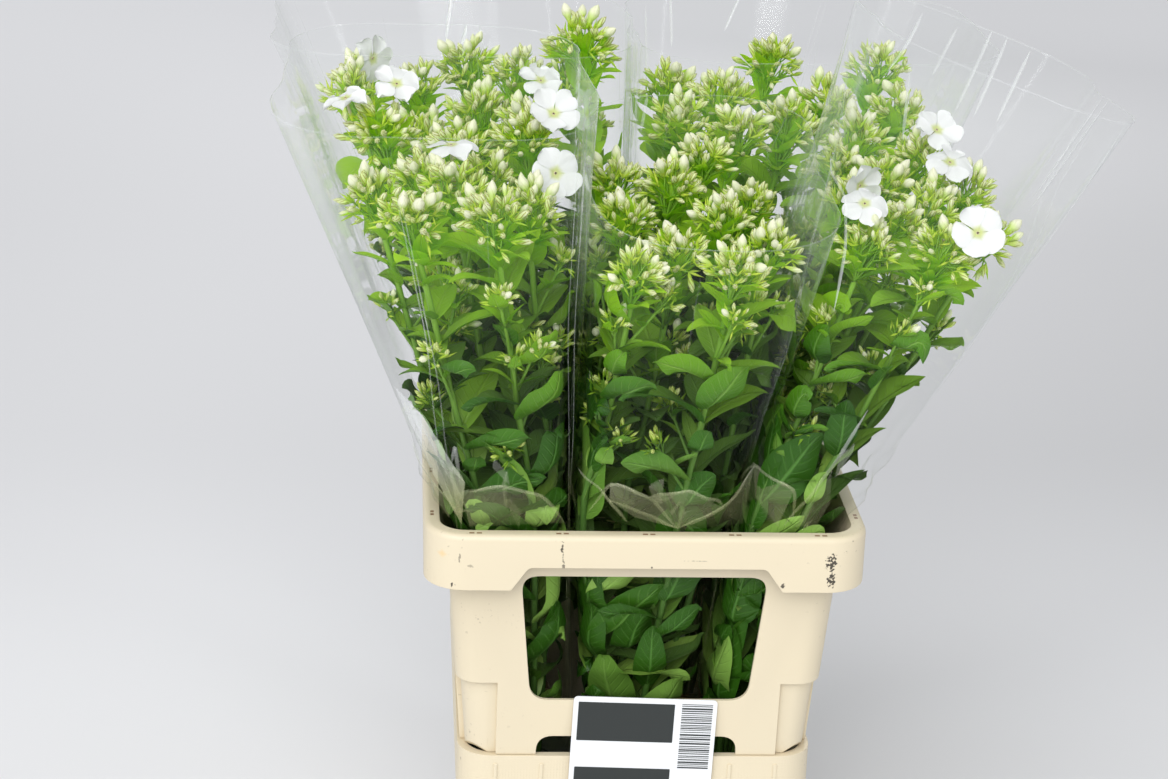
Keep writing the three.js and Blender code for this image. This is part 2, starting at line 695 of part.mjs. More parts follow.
function leafSize(z) {
  const t = THREE.MathUtils.clamp((z - LEAF_LOW.z) / (LEAF_HIGH.z - LEAF_LOW.z), 0, 1);
  const length = lerp(LEAF_LOW.length, LEAF_HIGH.length, t);
  return { length, width: lerp(LEAF_LOW.width, LEAF_HIGH.width, t) };
}

function stemsOf(bunch) {
  const random = randomSource(bunch.seed);
  return headPlaces(bunch.columns).map((place, index) => planStem(bunch, index, place, random));
}

// The first of the given shapes that is clear of everything in taken, or undefined.
function firstClear(makers, taken) {
  for (const make of makers) {
    const body = make();
    const { min, max } = body.boundingBox();
    const near = ({ low, high }) => [0, 1, 2].every(k => low[k] < max[k] && high[k] > min[k]);
    if (taken.filter(near).every(other => body.intersect(other.body).isEmpty())) {
      return body;
    }
  }
  return undefined;
}

function claim(taken, body, stem) {
  const { min, max } = body.boundingBox();
  taken.push({ body, low: min, high: max, stem });
}

// All greenery of one bunch: stems, heads, side shoots and opposite pairs of leaves. A leaf or
// shoot that would cross another is turned until it is clear, or left out.
function makeBunch(bunch, blooms) {
  const random = randomSource(bunch.seed + 7);
  const stems = stemsOf(bunch);
  const taken = [];
  for (const bloom of blooms) {
    claim(taken, solid(bloom));
  }
  for (const stem of stems) {
    claim(taken, solid(makeStem(stem)), stem);
    const { head, lean, turn } = stem;
    claim(taken, solid(makeCluster(bunch, head, lean, bunch.headRadius, turn, HEAD_RINGS, random)));
  }
  for (const stem of stems) {
    const others = () => taken.filter(item => item.stem !== stem);
    const edge = Math.max(Math.abs(stem.across), Math.abs(stem.deep));
    if (edge > SIDE_SHOOT.fromEdge && random() < SIDE_SHOOT.share) {
      const z = lerp(SIDE_SHOOT.lowest, stem.head.z - SIDE_SHOOT.belowHead, random());
      const azimuth = Math.atan2(stem.deep, stem.across);
      const makers = TURNS.map(turn => () => makeSideShoot(bunch, stem, z, azimuth + turn));
      const shoot = firstClear(makers, others());
      if (shoot) {
        claim(taken, shoot);
      }
    }
    const atWindow = stem.deep * Math.sign(bunch.foot[1]) > 0.5;
    const lowest = atWindow ? LEAF_LOW.z : STRIPPED_Z;
    const highest = stem.head.z - LEAVES_BELOW_HEAD;
    const pairs = Math.round((highest - lowest) / LEAF_PAIR_STEP);
    for (let node = 0; node < pairs; node++) {
      const place = node + LEAF_PAIR_PLACE.least + LEAF_PAIR_PLACE.spread * random();
      const z = lerp(lowest, highest, place / pairs);
      const { length, width } = leafSize(z);
      for (const side of [0, Math.PI]) {
        const azimuth = stem.turn + Math.PI / 4 + node * Math.PI / 2 + side;
        const rise = LEAF_RISE.least + random() * LEAF_RISE.spread;
        const size = LEAF_SIZE.least + random() * LEAF_SIZE.spread;
        const root = pointOnStem(stem, z);
        const makers = TURNS.map(turn => () =>
          solid(makeLeaf(bunch, root, azimuth + turn, length * size, width * size, rise)));
        const leaf = firstClear(makers, others());
        if (leaf) {
          claim(taken, leaf);
        }
      }
    }
  }
  const knot = new THREE.CylinderGeometry(KNOT.radius, KNOT.radius, 2 * KNOT.half, ROUND_SIDES);
  knot.rotateX(Math.PI / 2).translate(...bunch.foot, TIE_Z);
  const grown = wasm.Manifold.union([solid(knot), ...taken.slice(blooms.length).map(item => item.body)]);
  const room = blooms.reduce((space, bloom) => space.subtract(solid(bloom)), roomInside(bunch));
  return geometryOf(largestBody(grown.intersect(room).simplify(SIMPLIFY)));
}

// ---------------------------------------------------------------- open blooms

// Five flat petals on a slim tube, opening along +Z. grow makes it larger all round.
function makeBloomShape(grow) {
  const radius = BLOOM_RADIUS + grow;
  const outline = [];
  for (let petal = 0; petal < 5; petal++) {
    for (const [turn, reach, lift] of PETAL_OUTLINE) {
      const angle = (petal + turn) * 2 * Math.PI / 5;
      outline.push(vector(radius * reach * Math.cos(angle), radius * reach * Math.sin(angle), lift));
    }
  }
  const ringAt = (r, z) => [0, 1, 2, 3, 4].map(k => {
    const angle = k * 2 * Math.PI / 5;
    return vector((r + grow) * Math.cos(angle), (r + grow) * Math.sin(angle), z - grow);
  });
  const { neck, foot, length } = BLOOM_TUBE;
  const points = [...outline, ...ringAt(neck, -BLOOM_TUBE.below), ...ringAt(foot, 1 - length)];
  const throat = points.push(vector(0, 0, grow)) - 1;
  const end = points.push(vector(0, 0, -length - grow)) - 1;
  const triangles = [];
  for (let i = 0; i < 20; i++) {
    triangles.push([throat, i, (i + 1) % 20]);
  }
  for (let petal = 0; petal < 5; petal++) {
    const next = (petal + 1) % 5;
    const [a, b, c, d, e] = [4 * petal, 4 * petal + 1, 4 * petal + 2, 4 * petal + 3, 4 * next];
    const [p, q, r, s] = [20 + petal, 20 + next, 25 + petal, 25 + next];
    triangles.push([p, b, a], [p, c, b], [p, q, c], [q, d, c], [q, e, d]);
    triangles.push([r, q, p], [r, s, q], [r, end, s]);
  }
  return meshFrom(points, triangles);
}

// Each bloom looks away from the nearest head of its bunch.
function placeBloom({ bunch: name, at }) {
  const bunch = BUNCHES.find(b => b.name === name);
  const wanted = vector(...at);
  const stems = stemsOf(bunch);
  stems.sort((a, b) => a.head.distanceTo(wanted) - b.head.distanceTo(wanted));
  const { head } = stems[0];
  const facing = wanted.clone().sub(head).normalize();
  const spot = head.clone().addScaledVector(facing, bunch.headRadius + BLOOM_STANDS_OUT);
  const centre = pushedInside(bunch, spot, BLOOM_RADIUS * BLOOM_INSIDE + CLEARANCE);
  const looks = centre.clone().sub(head).normalize();
  const turn = new THREE.Quaternion().setFromUnitVectors(vector(0, 0, 1), looks);
  return { bunch: name, matrix: new THREE.Matrix4().compose(centre, turn, vector(1, 1, 1)) };
}

// ---------------------------------------------------------------- the group

const group = new THREE.Group();

function add(name, geometry, material, position = [0, 0, 0]) {
  geometry.computeVertexNormals();
  const mesh = new THREE.Mesh(geometry, material);
  mesh.name = name;
  mesh.position.set(...position);
  group.add(mesh);
}

add('bucket', makeBucket(), finish(COLOURS.cream, 0.5));
add('collar', makeCollar(), finish(COLOURS.cream, 0.5));
add('water', makeWater(), finish(COLOURS.water, 0.1));

const [collarFoot, collarBend] = COLLAR_WALL;
const cardRise = (CARD.topZ - collarFoot[0]) / (collarBend[0] - collarFoot[0]);
const wallY = lerp(collarFoot[2], collarBend[2], cardRise);
const cardPlace = [CARD.x, -wallY - 2 * GAP - CARD.thickness / 2, CARD.topZ];
add('card', makeCard(), finish(COLOURS.card, 0.4), cardPlace);

const { inner, outer, halfHeight } = TIE;
const band = [[inner, -halfHeight], [outer, -halfHeight], [outer, halfHeight], [inner, halfHeight]];
const bandOutline = [...band, band[0]].map(([r, z]) => new THREE.Vector2(r, z));

const placed = BLOOMS.map(placeBloom);
for (const bunch of BUNCHES) {
  const clear = placed.filter(bloom => bloom.bunch === bunch.name)
    .map(bloom => makeBloomShape(BLOOM_ROOM).applyMatrix4(bloom.matrix));
  add(`bunch_${bunch.name}`, makeBunch(bunch, clear), finish(COLOURS.leaf, 0.55));
  add(`sleeve_${bunch.name}`, makeSleeve(bunch), finish(COLOURS.film, 0.1));
  const tie = new THREE.LatheGeometry(bandOutline, ROUND_SIDES).rotateX(Math.PI / 2);
  add(`tie_${bunch.name}`, tie, finish(COLOURS.band, 0.7), [...bunch.foot, TIE_Z]);
}
placed.forEach((bloom, i) => {
  const name = `bloom_${String(i + 1).padStart(2, '0')}`;
  add(name, makeBloomShape(0).applyMatrix4(bloom.matrix), finish(COLOURS.petal, 0.6));
});

export default group;
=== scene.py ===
"""White garden phlox in bud: five sleeved bunches standing in a flower bucket with a raised collar."""

import math
from typing import NamedTuple

import bmesh
import bpy
import numpy as np
from bpy.props import FloatProperty, FloatVectorProperty, IntProperty, PointerProperty
from mathutils import Matrix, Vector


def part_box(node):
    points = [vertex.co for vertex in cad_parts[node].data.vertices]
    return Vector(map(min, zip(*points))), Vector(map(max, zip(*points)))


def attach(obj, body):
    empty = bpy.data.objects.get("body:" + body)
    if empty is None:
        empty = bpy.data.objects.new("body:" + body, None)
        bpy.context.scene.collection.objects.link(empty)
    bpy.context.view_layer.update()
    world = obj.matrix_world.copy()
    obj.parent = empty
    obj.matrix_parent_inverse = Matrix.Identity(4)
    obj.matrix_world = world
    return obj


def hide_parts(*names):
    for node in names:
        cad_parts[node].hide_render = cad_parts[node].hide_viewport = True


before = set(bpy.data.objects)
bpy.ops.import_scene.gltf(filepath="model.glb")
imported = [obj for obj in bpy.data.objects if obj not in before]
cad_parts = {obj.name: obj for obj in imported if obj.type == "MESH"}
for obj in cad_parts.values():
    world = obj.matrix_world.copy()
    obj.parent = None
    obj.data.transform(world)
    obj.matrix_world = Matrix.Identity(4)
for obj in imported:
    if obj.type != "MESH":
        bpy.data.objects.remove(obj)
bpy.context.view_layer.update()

bl_info = {
    "name": "Phlox Plant in Its Container",
    "version": (1, 0, 0),
    "blender": (4, 5, 0),
    "location": "View3D > Sidebar > Phlox",
    "description": "Dresses the packed phlox container: stems, leaves, buds, blooms, film and finishes",
    "category": "Object",
}

UP = np.array([0.0, 0.0, 1.0])
QUARTERS = ((1, 1), (-1, 1), (-1, -1), (1, -1))   # corners, counter-clockwise from above
ANY_TURN = 6.28                                   # a draw below it turns a thing any way round
GOLDEN_TURN = 2.39996
SEED_STEPS = {"framed_shoots": 7, "shoots": 5, "heads": 3, "sleeve": 11}


# ------------------------------------------------------------------ measures shared with the frame


class Bunch(NamedTuple):
    """One sleeved bunch. waist and top are the sleeve's x from, x to, y from and y to."""

    name: str
    foot: tuple
    waist: tuple
    top: tuple
    top_z: float
    slope: tuple
    columns: int
    head_z: float
    head_radius: float
    seed: int


BUNCHES = (
    Bunch("left", (-0.071, -0.095), (-0.131, -0.0505, -0.181, -0.0015),
          (-0.246, -0.047, -0.270, -0.002), 0.700, (0.0, 0.05), 3, 0.630, 0.031, 101),
    Bunch("middle", (0.0, -0.095), (-0.0485, 0.059, -0.181, -0.0015),
          (-0.045, 0.111, -0.262, -0.002), 0.642, (0.0, 0.14), 2, 0.606, 0.027, 202),
    Bunch("right", (0.071, -0.095), (0.061, 0.1285, -0.181, -0.0015),
          (0.136, 0.303, -0.225, -0.002), 0.720, (-0.35, 0.0), 2, 0.610, 0.027, 303),
    Bunch("rear_left", (-0.062, 0.095), (-0.131, -0.0015, 0.0015, 0.181),
          (-0.264, -0.002, 0.002, 0.250), 0.684, (0.0, 0.0), 3, 0.611, 0.034, 404),
    Bunch("rear_right", (0.062, 0.095), (0.0015, 0.131, 0.0015, 0.181),
          (0.002, 0.264, 0.002, 0.250), 0.684, (0.0, 0.0), 3, 0.611, 0.034, 505),
)

SLEEVE_FOOT_Z = 0.112
SLEEVE_FOOT_RADIUS = 0.033
WAIST_Z = 0.390
WAIST_RADIUS = 0.020
TOP_RADIUS = 0.060

FOOT_Z = 0.0046
FOOT_SPREAD = 1.7
TIE_Z = 0.150
TIED_HALF = {2: (0.005, 0.010), 3: (0.0062, 0.0082)}
STEM_MARGIN = 0.009
HEAD_BASE = 0.75
HEAD_RISE = 0.05
HEAD_JITTER = {"place": 0.14, "z": 0.024}
SPRIG = {"bunch": "rear_left", "stem": 4, "rise": 0.050}
STRIPPED_Z = 0.345
WINDOW_LEAVES_Z = 0.225
DRAWS_PER_HEAD = 18
DRAWS_PER_PAIR = 5
PAIR_STEP = 0.138
BARE_BELOW_HEAD = 0.050
OUTER_STEM = 0.6
SIDE_SHOOT = {"out": 0.026, "up": 0.034, "lowest": 0.480, "below_head": 0.060, "share": 0.8}
SIDE_HEAD_RADIUS = 0.0125
CLEARANCE = 0.0032

# Open blooms: the bunch that carries each and where it looks out of its head.
BLOOMS = (
    ("left", (-0.211, -0.046, 0.668)),
    ("left", (-0.173, -0.030, 0.668)),
    ("left", (-0.136, -0.125, 0.654)),
    ("left", (-0.068, -0.060, 0.655)),
    ("left", (-0.063, -0.125, 0.641)),
    ("rear_left", (-0.189, 0.120, 0.661)),
    ("rear_left", (-0.067, 0.060, 0.660)),
    ("right", (0.137, -0.130, 0.632)),
    ("right", (0.134, -0.175, 0.614)),
    ("right", (0.203, -0.045, 0.649)),
    ("right", (0.204, -0.085, 0.640)),
    ("right", (0.198, -0.190, 0.610)),
)
BLOOM_STANDS_OUT = 0.005
BLOOM_LOOK = np.array([-0.10, -1.30, 1.05])


# ------------------------------------------------------------------ settings a user would change


def length(name, description, default):
    """A length setting in metres."""
    return FloatProperty(name=name, description=description, default=default,
                         min=0.0, precision=4, unit="LENGTH", subtype="DISTANCE")


def colour(name, description, default):
    """A linear colour setting."""
    return FloatVectorProperty(name=name, description=description, default=default,
                               size=3, min=0.0, max=1.0, subtype="COLOR")


def share(name, description, default):
    """A setting between 0 and 1."""
    return FloatProperty(name=name, description=description, default=default,
                         min=0.0, max=1.0, subtype="FACTOR")


class PHLOX_container_settings(bpy.types.PropertyGroup):
    """Bucket, collar and water."""

    edge: length("Edge rounding", "How far the moulded edges are rounded off", 0.0011)
    plastic: colour("Plastic", "Cream plastic of the bucket and collar", (0.700, 0.616, 0.452))
    grime: colour("Grime", "Old scuffs and dust on the plastic", (0.16, 0.12, 0.07))
    water: colour("Water", "Water in the bucket", (0.45, 0.52, 0.42))
    rubber: colour("Rubber", "Rubber bands round the stems", (0.58, 0.40, 0.18))


class PHLOX_card_settings(bpy.types.PropertyGroup):
    """Printed card."""

    paper: colour("Paper", "Coated white card", (0.79, 0.81, 0.83))
    ink: colour("Ink", "Printed panels and bars", (0.022, 0.027, 0.026))


class PHLOX_foliage_settings(bpy.types.PropertyGroup):
    """Stems and leaves."""

    low_length: length("Low leaf length", "Length of the lowest leaves", 0.096)
    low_width: length("Low leaf width", "Width of the lowest leaves", 0.034)
    high_length: length("High leaf length", "Length of the leaves under the heads", 0.046)
    high_width: length("High leaf width", "Width of the leaves under the heads", 0.022)
    pair_step: length("Pair step", "Height between two pairs of leaves", 0.0195)
    stem: length("Stem radius", "Radius of a stem at its foot", 0.0028)
    # The low and high greens are partly the leaves' own colour, partly painted shade low in the bunch and
    # painted light on its top.
    shade: colour("Low leaves", "Dark green of the low leaves", (0.025, 0.095, 0.005))
    bright: colour("High leaves", "Yellow green of the young leaves", (0.54, 0.90, 0.040))
    under: colour("Undersides", "Pale green of the leaf backs", (0.28, 0.47, 0.12))


class PHLOX_head_settings(bpy.types.PropertyGroup):
    """Heads of buds."""

    cymes: IntProperty(name="Cymes", description="Forked stalks in one head", default=12, min=3)
    ripe: IntProperty(name="Ripe buds", description="Fat cream buds in one head", default=5, min=0)
    slim: IntProperty(name="Slim buds", description="Striped buds in one head", default=46, min=0)
    spikes: IntProperty(name="Spikes", description="Needle-fine calyces in one head", default=92, min=0)
    bud_length: length("Bud length", "Length of a ripe bud with its calyx", 0.0180)
    bud: colour("Buds", "Cream of the ripe buds", (0.95, 0.95, 0.76))
    calyx: colour("Calyx", "Yellow green of the calyces", (0.70, 0.95, 0.055))


class PHLOX_bloom_settings(bpy.types.PropertyGroup):
    """Open blooms."""

    radius: length("Radius", "From the eye to a petal's edge", 0.0180)
    petal: colour("Petal", "White of the petals", (0.84, 0.85, 0.86))
    eye: colour("Eye", "Yellow green round the throat", (0.62, 0.68, 0.28))
    tube: colour("Tube", "Flushed outside of the tube", (0.66, 0.52, 0.42))


class PHLOX_sleeve_settings(bpy.types.PropertyGroup):
    """Film sleeves."""

    fold: length("Fold depth", "How far the film bulges between its folds", 0.0030)
    crease: length("Crease width", "Width of the sharp creases and welds", 0.0011)
    haze: share("Haze", "How milky the flat film is", 0.003)


class PHLOX_stage_settings(bpy.types.PropertyGroup):
    """Floor, lights and camera."""

    floor: colour("Floor", "Pale studio floor", (0.775, 0.780, 0.800))
    sky: share("Surround", "Brightness of the white surround", 0.40)
    key: FloatProperty(name="Key light", description="Strength of the soft front light",
                       default=2.32, min=0.0)
    strips: FloatProperty(name="Strip lights", description="Power of the strips that shine in the film",
                          default=11.0, min=0.0, unit="POWER")
    lens: FloatProperty(name="Lens", description="Focal length of the camera", default=82.42,
                        min=1.0, unit="CAMERA")


# ------------------------------------------------------------------ draws and sleeves


def seeded_draws(seed):
    """Repeatable draws between 0 and 1, the same that placed the stems of the frame."""
    state = seed
    whole = 0xFFFFFFFF

    def draw():
        nonlocal state
        state = (state + 0x6D2B79F5) & whole
        mixed = ((state ^ (state >> 15)) * (1 | state)) & whole
        mixed ^= (mixed + (((mixed ^ (mixed >> 7)) * (61 | mixed)) & whole)) & whole
        return ((mixed ^ (mixed >> 14)) & whole) / 4294967296

    return draw


def lerp(a, b, t):
    return a + (b - a) * t


def linked(name, data):
    """A new object in the scene that holds the data."""
    made = bpy.data.objects.new(name, data)
    bpy.context.scene.collection.objects.link(made)
    return made


def unit(vectors):
    """The same directions with a length of one."""
    return vectors / np.maximum(np.linalg.norm(vectors, axis=-1, keepdims=True), 1e-12)


def plan_of(rectangle, radius):
    """Centre, half sizes and corner radius of a sleeve's section."""
    x0, x1, y0, y1 = rectangle
    return np.array([(x0 + x1) / 2, (y0 + y1) / 2, (x1 - x0) / 2, (y1 - y0) / 2, radius])


def foot_plan(bunch):
    return np.array([*bunch.foot, SLEEVE_FOOT_RADIUS, SLEEVE_FOOT_RADIUS, SLEEVE_FOOT_RADIUS])


def plan_at(bunch, z, across=0.0, deep=0.0):
    """The sleeve's section at each height. across and deep, each from -1 to 1, say where in the
    sleeve it is wanted, because the top edge slopes."""
    z, across, deep = np.broadcast_arrays(np.asarray(z, float), across, deep)
    foot, waist, top = foot_plan(bunch), plan_of(bunch.waist, WAIST_RADIUS), plan_of(bunch.top, TOP_RADIUS)
    low = np.clip((z - SLEEVE_FOOT_Z) / (WAIST_Z - SLEEVE_FOOT_Z), 0, 1)[..., None]
    edge_z = bunch.top_z + bunch.slope[0] * across * top[2] + bunch.slope[1] * deep * top[3]
    high = np.maximum((z - WAIST_Z) / (edge_z - WAIST_Z), 0)[..., None]
    return np.where(high > 0, lerp(waist, top, high), lerp(foot, waist, low))


def film_at(bunch, points):
    """How far each point is from the film (negative inside) and which way the film faces there."""
    middle = plan_at(bunch, points[:, 2])
    place = np.clip((points[:, :2] - middle[:, :2]) / middle[:, 2:4], -1, 1)
    plan = plan_at(bunch, points[:, 2], place[:, 0], place[:, 1])
    out = points[:, :2] - plan[:, :2]
    over = np.abs(out) - (plan[:, 2:4] - plan[:, 4:5])
    corner = np.maximum(over, 0)
    beyond = np.linalg.norm(corner, axis=1)
    distance = beyond + np.minimum(over.max(axis=1), 0) - plan[:, 4]
    flat = np.where(over[:, :1] > over[:, 1:], np.array([1.0, 0.0]), np.array([0.0, 1.0]))
    facing = np.where(beyond[:, None] > 0, corner / np.maximum(beyond, 1e-9)[:, None], flat)
    facing = facing * np.sign(out)
    return distance, np.column_stack([facing, np.zeros(len(points))])


def pushed_inside(bunch, points, margin):
    """The points, those near or past the film moved back to a margin inside it."""
    flat = points.reshape(-1, 3)
    distance, facing = film_at(bunch, flat)
    back = np.maximum(distance + margin, 0)[:, None]
    return (flat - facing * back).reshape(points.shape)


# ------------------------------------------------------------------ stems


class Stem(NamedTuple):
    """A stem's middle line, its head and how it is turned."""

    line: np.ndarray
    lean: np.ndarray
    head: np.ndarray
    turn: float
    across: float
    deep: float


def head_places(columns):
    """Where a bunch's ten heads stand across its sleeve, each from -1 to 1."""
    if columns == 3:
        return [((i - 1) if count == 3 else (i - 0.5), row * 2 / 3 - 1)
                for row, count in enumerate((2, 3, 2, 3)) for i in range(count)]
    places = []
    for row in range(5):
        shift = 0.33 if row % 2 else -0.33
        places += [(-0.67 + shift, row / 2 - 1), (0.67 + shift, row / 2 - 1)]
    return places


def smooth_line(stations, count=72):
    """A smooth curve with count points through a stem's stations."""
    padded = np.vstack([2 * stations[0] - stations[1], stations, 2 * stations[-1] - stations[-2]])
    where = np.linspace(0, len(stations) - 1, count)
    start = np.minimum(where.astype(int), len(stations) - 2)
    t = (where - start)[:, None]
    a, b, c, d = (padded[start + k] for k in range(4))
    return 0.5 * (2 * b + (c - a) * t + (2 * a - 5 * b + 4 * c - d) * t ** 2
                  + (3 * b - a - 3 * c + d) * t ** 3)


def plan_stem(bunch, index, place, draw):
    """Stands one stem in its sleeve, as the frame does."""
    across, deep = (value + (draw() - 0.5) * HEAD_JITTER["place"] for value in place)
    guess = plan_at(bunch, bunch.head_z, across, deep)
    head_y = guess[1] + deep * (guess[3] - bunch.head_radius)
    head_z = bunch.head_z + HEAD_RISE * head_y + (draw() - 0.5) * HEAD_JITTER["z"]
    if (bunch.name, index) == (SPRIG["bunch"], SPRIG["stem"]):
        head_z += SPRIG["rise"]
    tie = np.array(place) * TIED_HALF[bunch.columns]
    foot = np.array(bunch.foot)
    base_z = head_z - bunch.head_radius * HEAD_BASE
    stations = [[*(foot + tie * FOOT_SPREAD), FOOT_Z], [*(foot + tie), TIE_Z]]
    for z in (WAIST_Z, (WAIST_Z + base_z) / 2, base_z):
        plan = plan_at(bunch, z, across, deep)
        margin = lerp(STEM_MARGIN, bunch.head_radius + 0.003, (z - WAIST_Z) / (head_z - WAIST_Z))
        stations.append([plan[0] + across * (plan[2] - margin), plan[1] + deep * (plan[3] - margin), z])
    stations = np.array(stations)
    lean = unit(stations[-1] - stations[-2])
    head = stations[-1] + lean * bunch.head_radius * HEAD_BASE
    return Stem(smooth_line(stations), lean, head, draw() * math.pi, across, deep)


def stems_of(bunch):
    draw = seeded_draws(bunch.seed)
    return [plan_stem(bunch, i, place, draw) for i, place in enumerate(head_places(bunch.columns))]


def point_on(stem, z):
    """The point of a stem at each height."""
    heights = stem.line[:, 2]
    return np.stack([np.interp(z, heights, stem.line[:, axis]) for axis in range(3)], axis=-1)


def lowest_leaves(bunch, stem):
    """The height of a stem's first leaves, which is low where they show in a window."""
    return WINDOW_LEAVES_Z if stem.deep * np.sign(bunch.foot[1]) > 0.5 else STRIPPED_Z


def framed_shoots(bunch, stems):
    """Stem, height and azimuth of each side shoot that the frame has."""
    draw = seeded_draws(bunch.seed + SEED_STEPS["framed_shoots"])
    for _ in range(DRAWS_PER_HEAD * len(stems)):
        draw()
    shoots = []
    for stem in stems:
        if max(abs(stem.across), abs(stem.deep)) > OUTER_STEM and draw() < SIDE_SHOOT["share"]:
            z = lerp(SIDE_SHOOT["lowest"], stem.head[2] - SIDE_SHOOT["below_head"], draw())
            shoots.append((stem, z, math.atan2(stem.deep, stem.across)))
        pairs = round((stem.head[2] - BARE_BELOW_HEAD - lowest_leaves(bunch, stem)) / PAIR_STEP)
        for _ in range(DRAWS_PER_PAIR * pairs):
            draw()
    return shoots


# ------------------------------------------------------------------ gathering a mesh


class Surface:
    """Gathers patches of points and faces, and makes one object of them."""

    def __init__(self):
        self.points, self.faces, self.uvs, self.tones, self.slots = [], [], [], [], []
        self.count = 0

    def add(self, points, faces, uv=None, tone=0.0, slot=0):
        """points (n, 3), faces (k, 3 or 4) into them, one uv and tone for each point."""
        n = len(points)
        self.points.append(points)
        self.faces.append(np.asarray(faces) + self.count)
        self.uvs.append(np.zeros((n, 2)) if uv is None else uv)
        self.tones.append(np.broadcast_to(tone, n))
        self.slots.append(np.full(len(faces), slot))
        self.count += n

    def add_copies(self, template, turns, places, sizes, tones, slot=0):
        """One copy of a template for each turn (m, 3, 3), place (m, 3) and size (m, 3)."""
        points, faces, uv = template
        m, n = len(places), len(points)
        sized = points[None] * sizes[:, None, :]
        moved = np.einsum("mij,mnj->mni", turns, sized) + places[:, None, :]
        copies = (faces[None] + (np.arange(m) * n)[:, None, None]).reshape(-1, faces.shape[1])
        self.add(moved.reshape(-1, 3), copies, np.tile(uv, (m, 1)), np.repeat(tones, n), slot)

    def make(self, name, materials):
        """One object of all the patches."""
        mesh = bpy.data.meshes.new(name)
        points = np.concatenate(self.points).astype(np.float32)
        corners = np.concatenate([faces.ravel() for faces in self.faces]).astype(np.int32)
        sizes = np.concatenate([np.full(len(faces), faces.shape[1]) for faces in self.faces])
        mesh.vertices.add(len(points))
        mesh.vertices.foreach_set("co", points.ravel())
        mesh.loops.add(len(corners))
        mesh.loops.foreach_set("vertex_index", corners)
        mesh.polygons.add(len(sizes))
        mesh.polygons.foreach_set("loop_start", (np.cumsum(sizes) - sizes).astype(np.int32))
        mesh.polygons.foreach_set("material_index", np.concatenate(self.slots).astype(np.int32))
        mesh.update(calc_edges=True)
        uvs = np.concatenate(self.uvs)[corners].astype(np.float32)
        mesh.uv_layers.new(name="shape").data.foreach_set("uv", uvs.ravel())
        tones = np.concatenate(self.tones).astype(np.float32)
        mesh.attributes.new("tone", "FLOAT", "POINT").data.foreach_set("value", tones)
        mesh.shade_smooth()
        for material in materials:
            mesh.materials.append(material)
        return linked(name, mesh)


def dress(piece, slot, *nodes):
    """The piece rides on the container and stands for those nodes of the frame."""
    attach(piece, "root")
    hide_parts(*nodes)


def grid_faces(rows, columns, closed=False):
    """Four-cornered faces of a grid of points, row by row. closed joins the last column to the first."""
    across = columns if closed else columns - 1
    row, column = np.meshgrid(np.arange(rows - 1), np.arange(across), indexing="ij")
    right = (column + 1) % columns
    a = row * columns + column
    b = row * columns + right
    return np.stack([a, b, b + columns, a + columns], axis=-1).reshape(-1, 4)


def frames_facing(directions, spins=0.0):
    """Rotations whose third axis is each direction, turned about it by each spin."""
    forward = unit(directions)
    spins = np.broadcast_to(spins, len(forward))[:, None]
    steep = np.abs(forward[:, 2:]) < 0.9
    side = unit(np.cross(np.where(steep, UP, np.array([1.0, 0.0, 0.0])), forward))
    other = np.cross(forward, side)
    cos, sin = np.cos(spins), np.sin(spins)
    return np.stack([side * cos + other * sin, other * cos - side * sin, forward], axis=2)


def lathe(profile, sides):
    """A template turned about Z from (radius, height) pairs, as triangles."""
    angles = np.arange(sides) * 2 * math.pi / sides
    rings = [[(r * math.cos(a), r * math.sin(a), z) for a in angles] for r, z in profile]
    points = np.array(rings).reshape(-1, 3)
    quads = grid_faces(len(profile), sides, closed=True)
    faces = np.concatenate([quads[:, [0, 1, 2]], quads[:, [0, 2, 3]]])
    v = np.repeat(np.linspace(0, 1, len(profile)), sides)
    u = np.tile(np.arange(sides) / sides, len(profile))
    return points, faces, np.column_stack([u, v])


def sticks(surface, starts, ends, radius, tone, slot, sides=4):
    """Straight tapering stalks from starts to ends."""
    spans = ends - starts
    count = len(spans)
    sizes = np.column_stack([np.full((count, 2), radius), np.linalg.norm(spans, axis=1)])
    template = lathe([(1.0, 0.0), (0.85, 1.0)], sides)
    surface.add_copies(template, frames_facing(spans), starts, sizes, np.full(count, tone), slot)


def round_rectangle(middle, half_x, half_y, radius, steps):
    """An outline with round corners, counter-clockwise from above: its points and the directions
    outwards, corner by corner."""
    corners, outs = [], []
    for quarter, (sx, sy) in enumerate(QUARTERS):
        angles = (quarter + np.linspace(0, 1, steps + 1)) * math.pi / 2
        outs.append(np.column_stack([np.cos(angles), np.sin(angles)]))
        centre = np.array([middle[0] + sx * (half_x - radius), middle[1] + sy * (half_y - radius)])
        corners.append(centre + radius * outs[-1])
    return np.stack(corners), np.stack(outs)


# ------------------------------------------------------------------ node materials

LEAF_GLOSS = 0.24


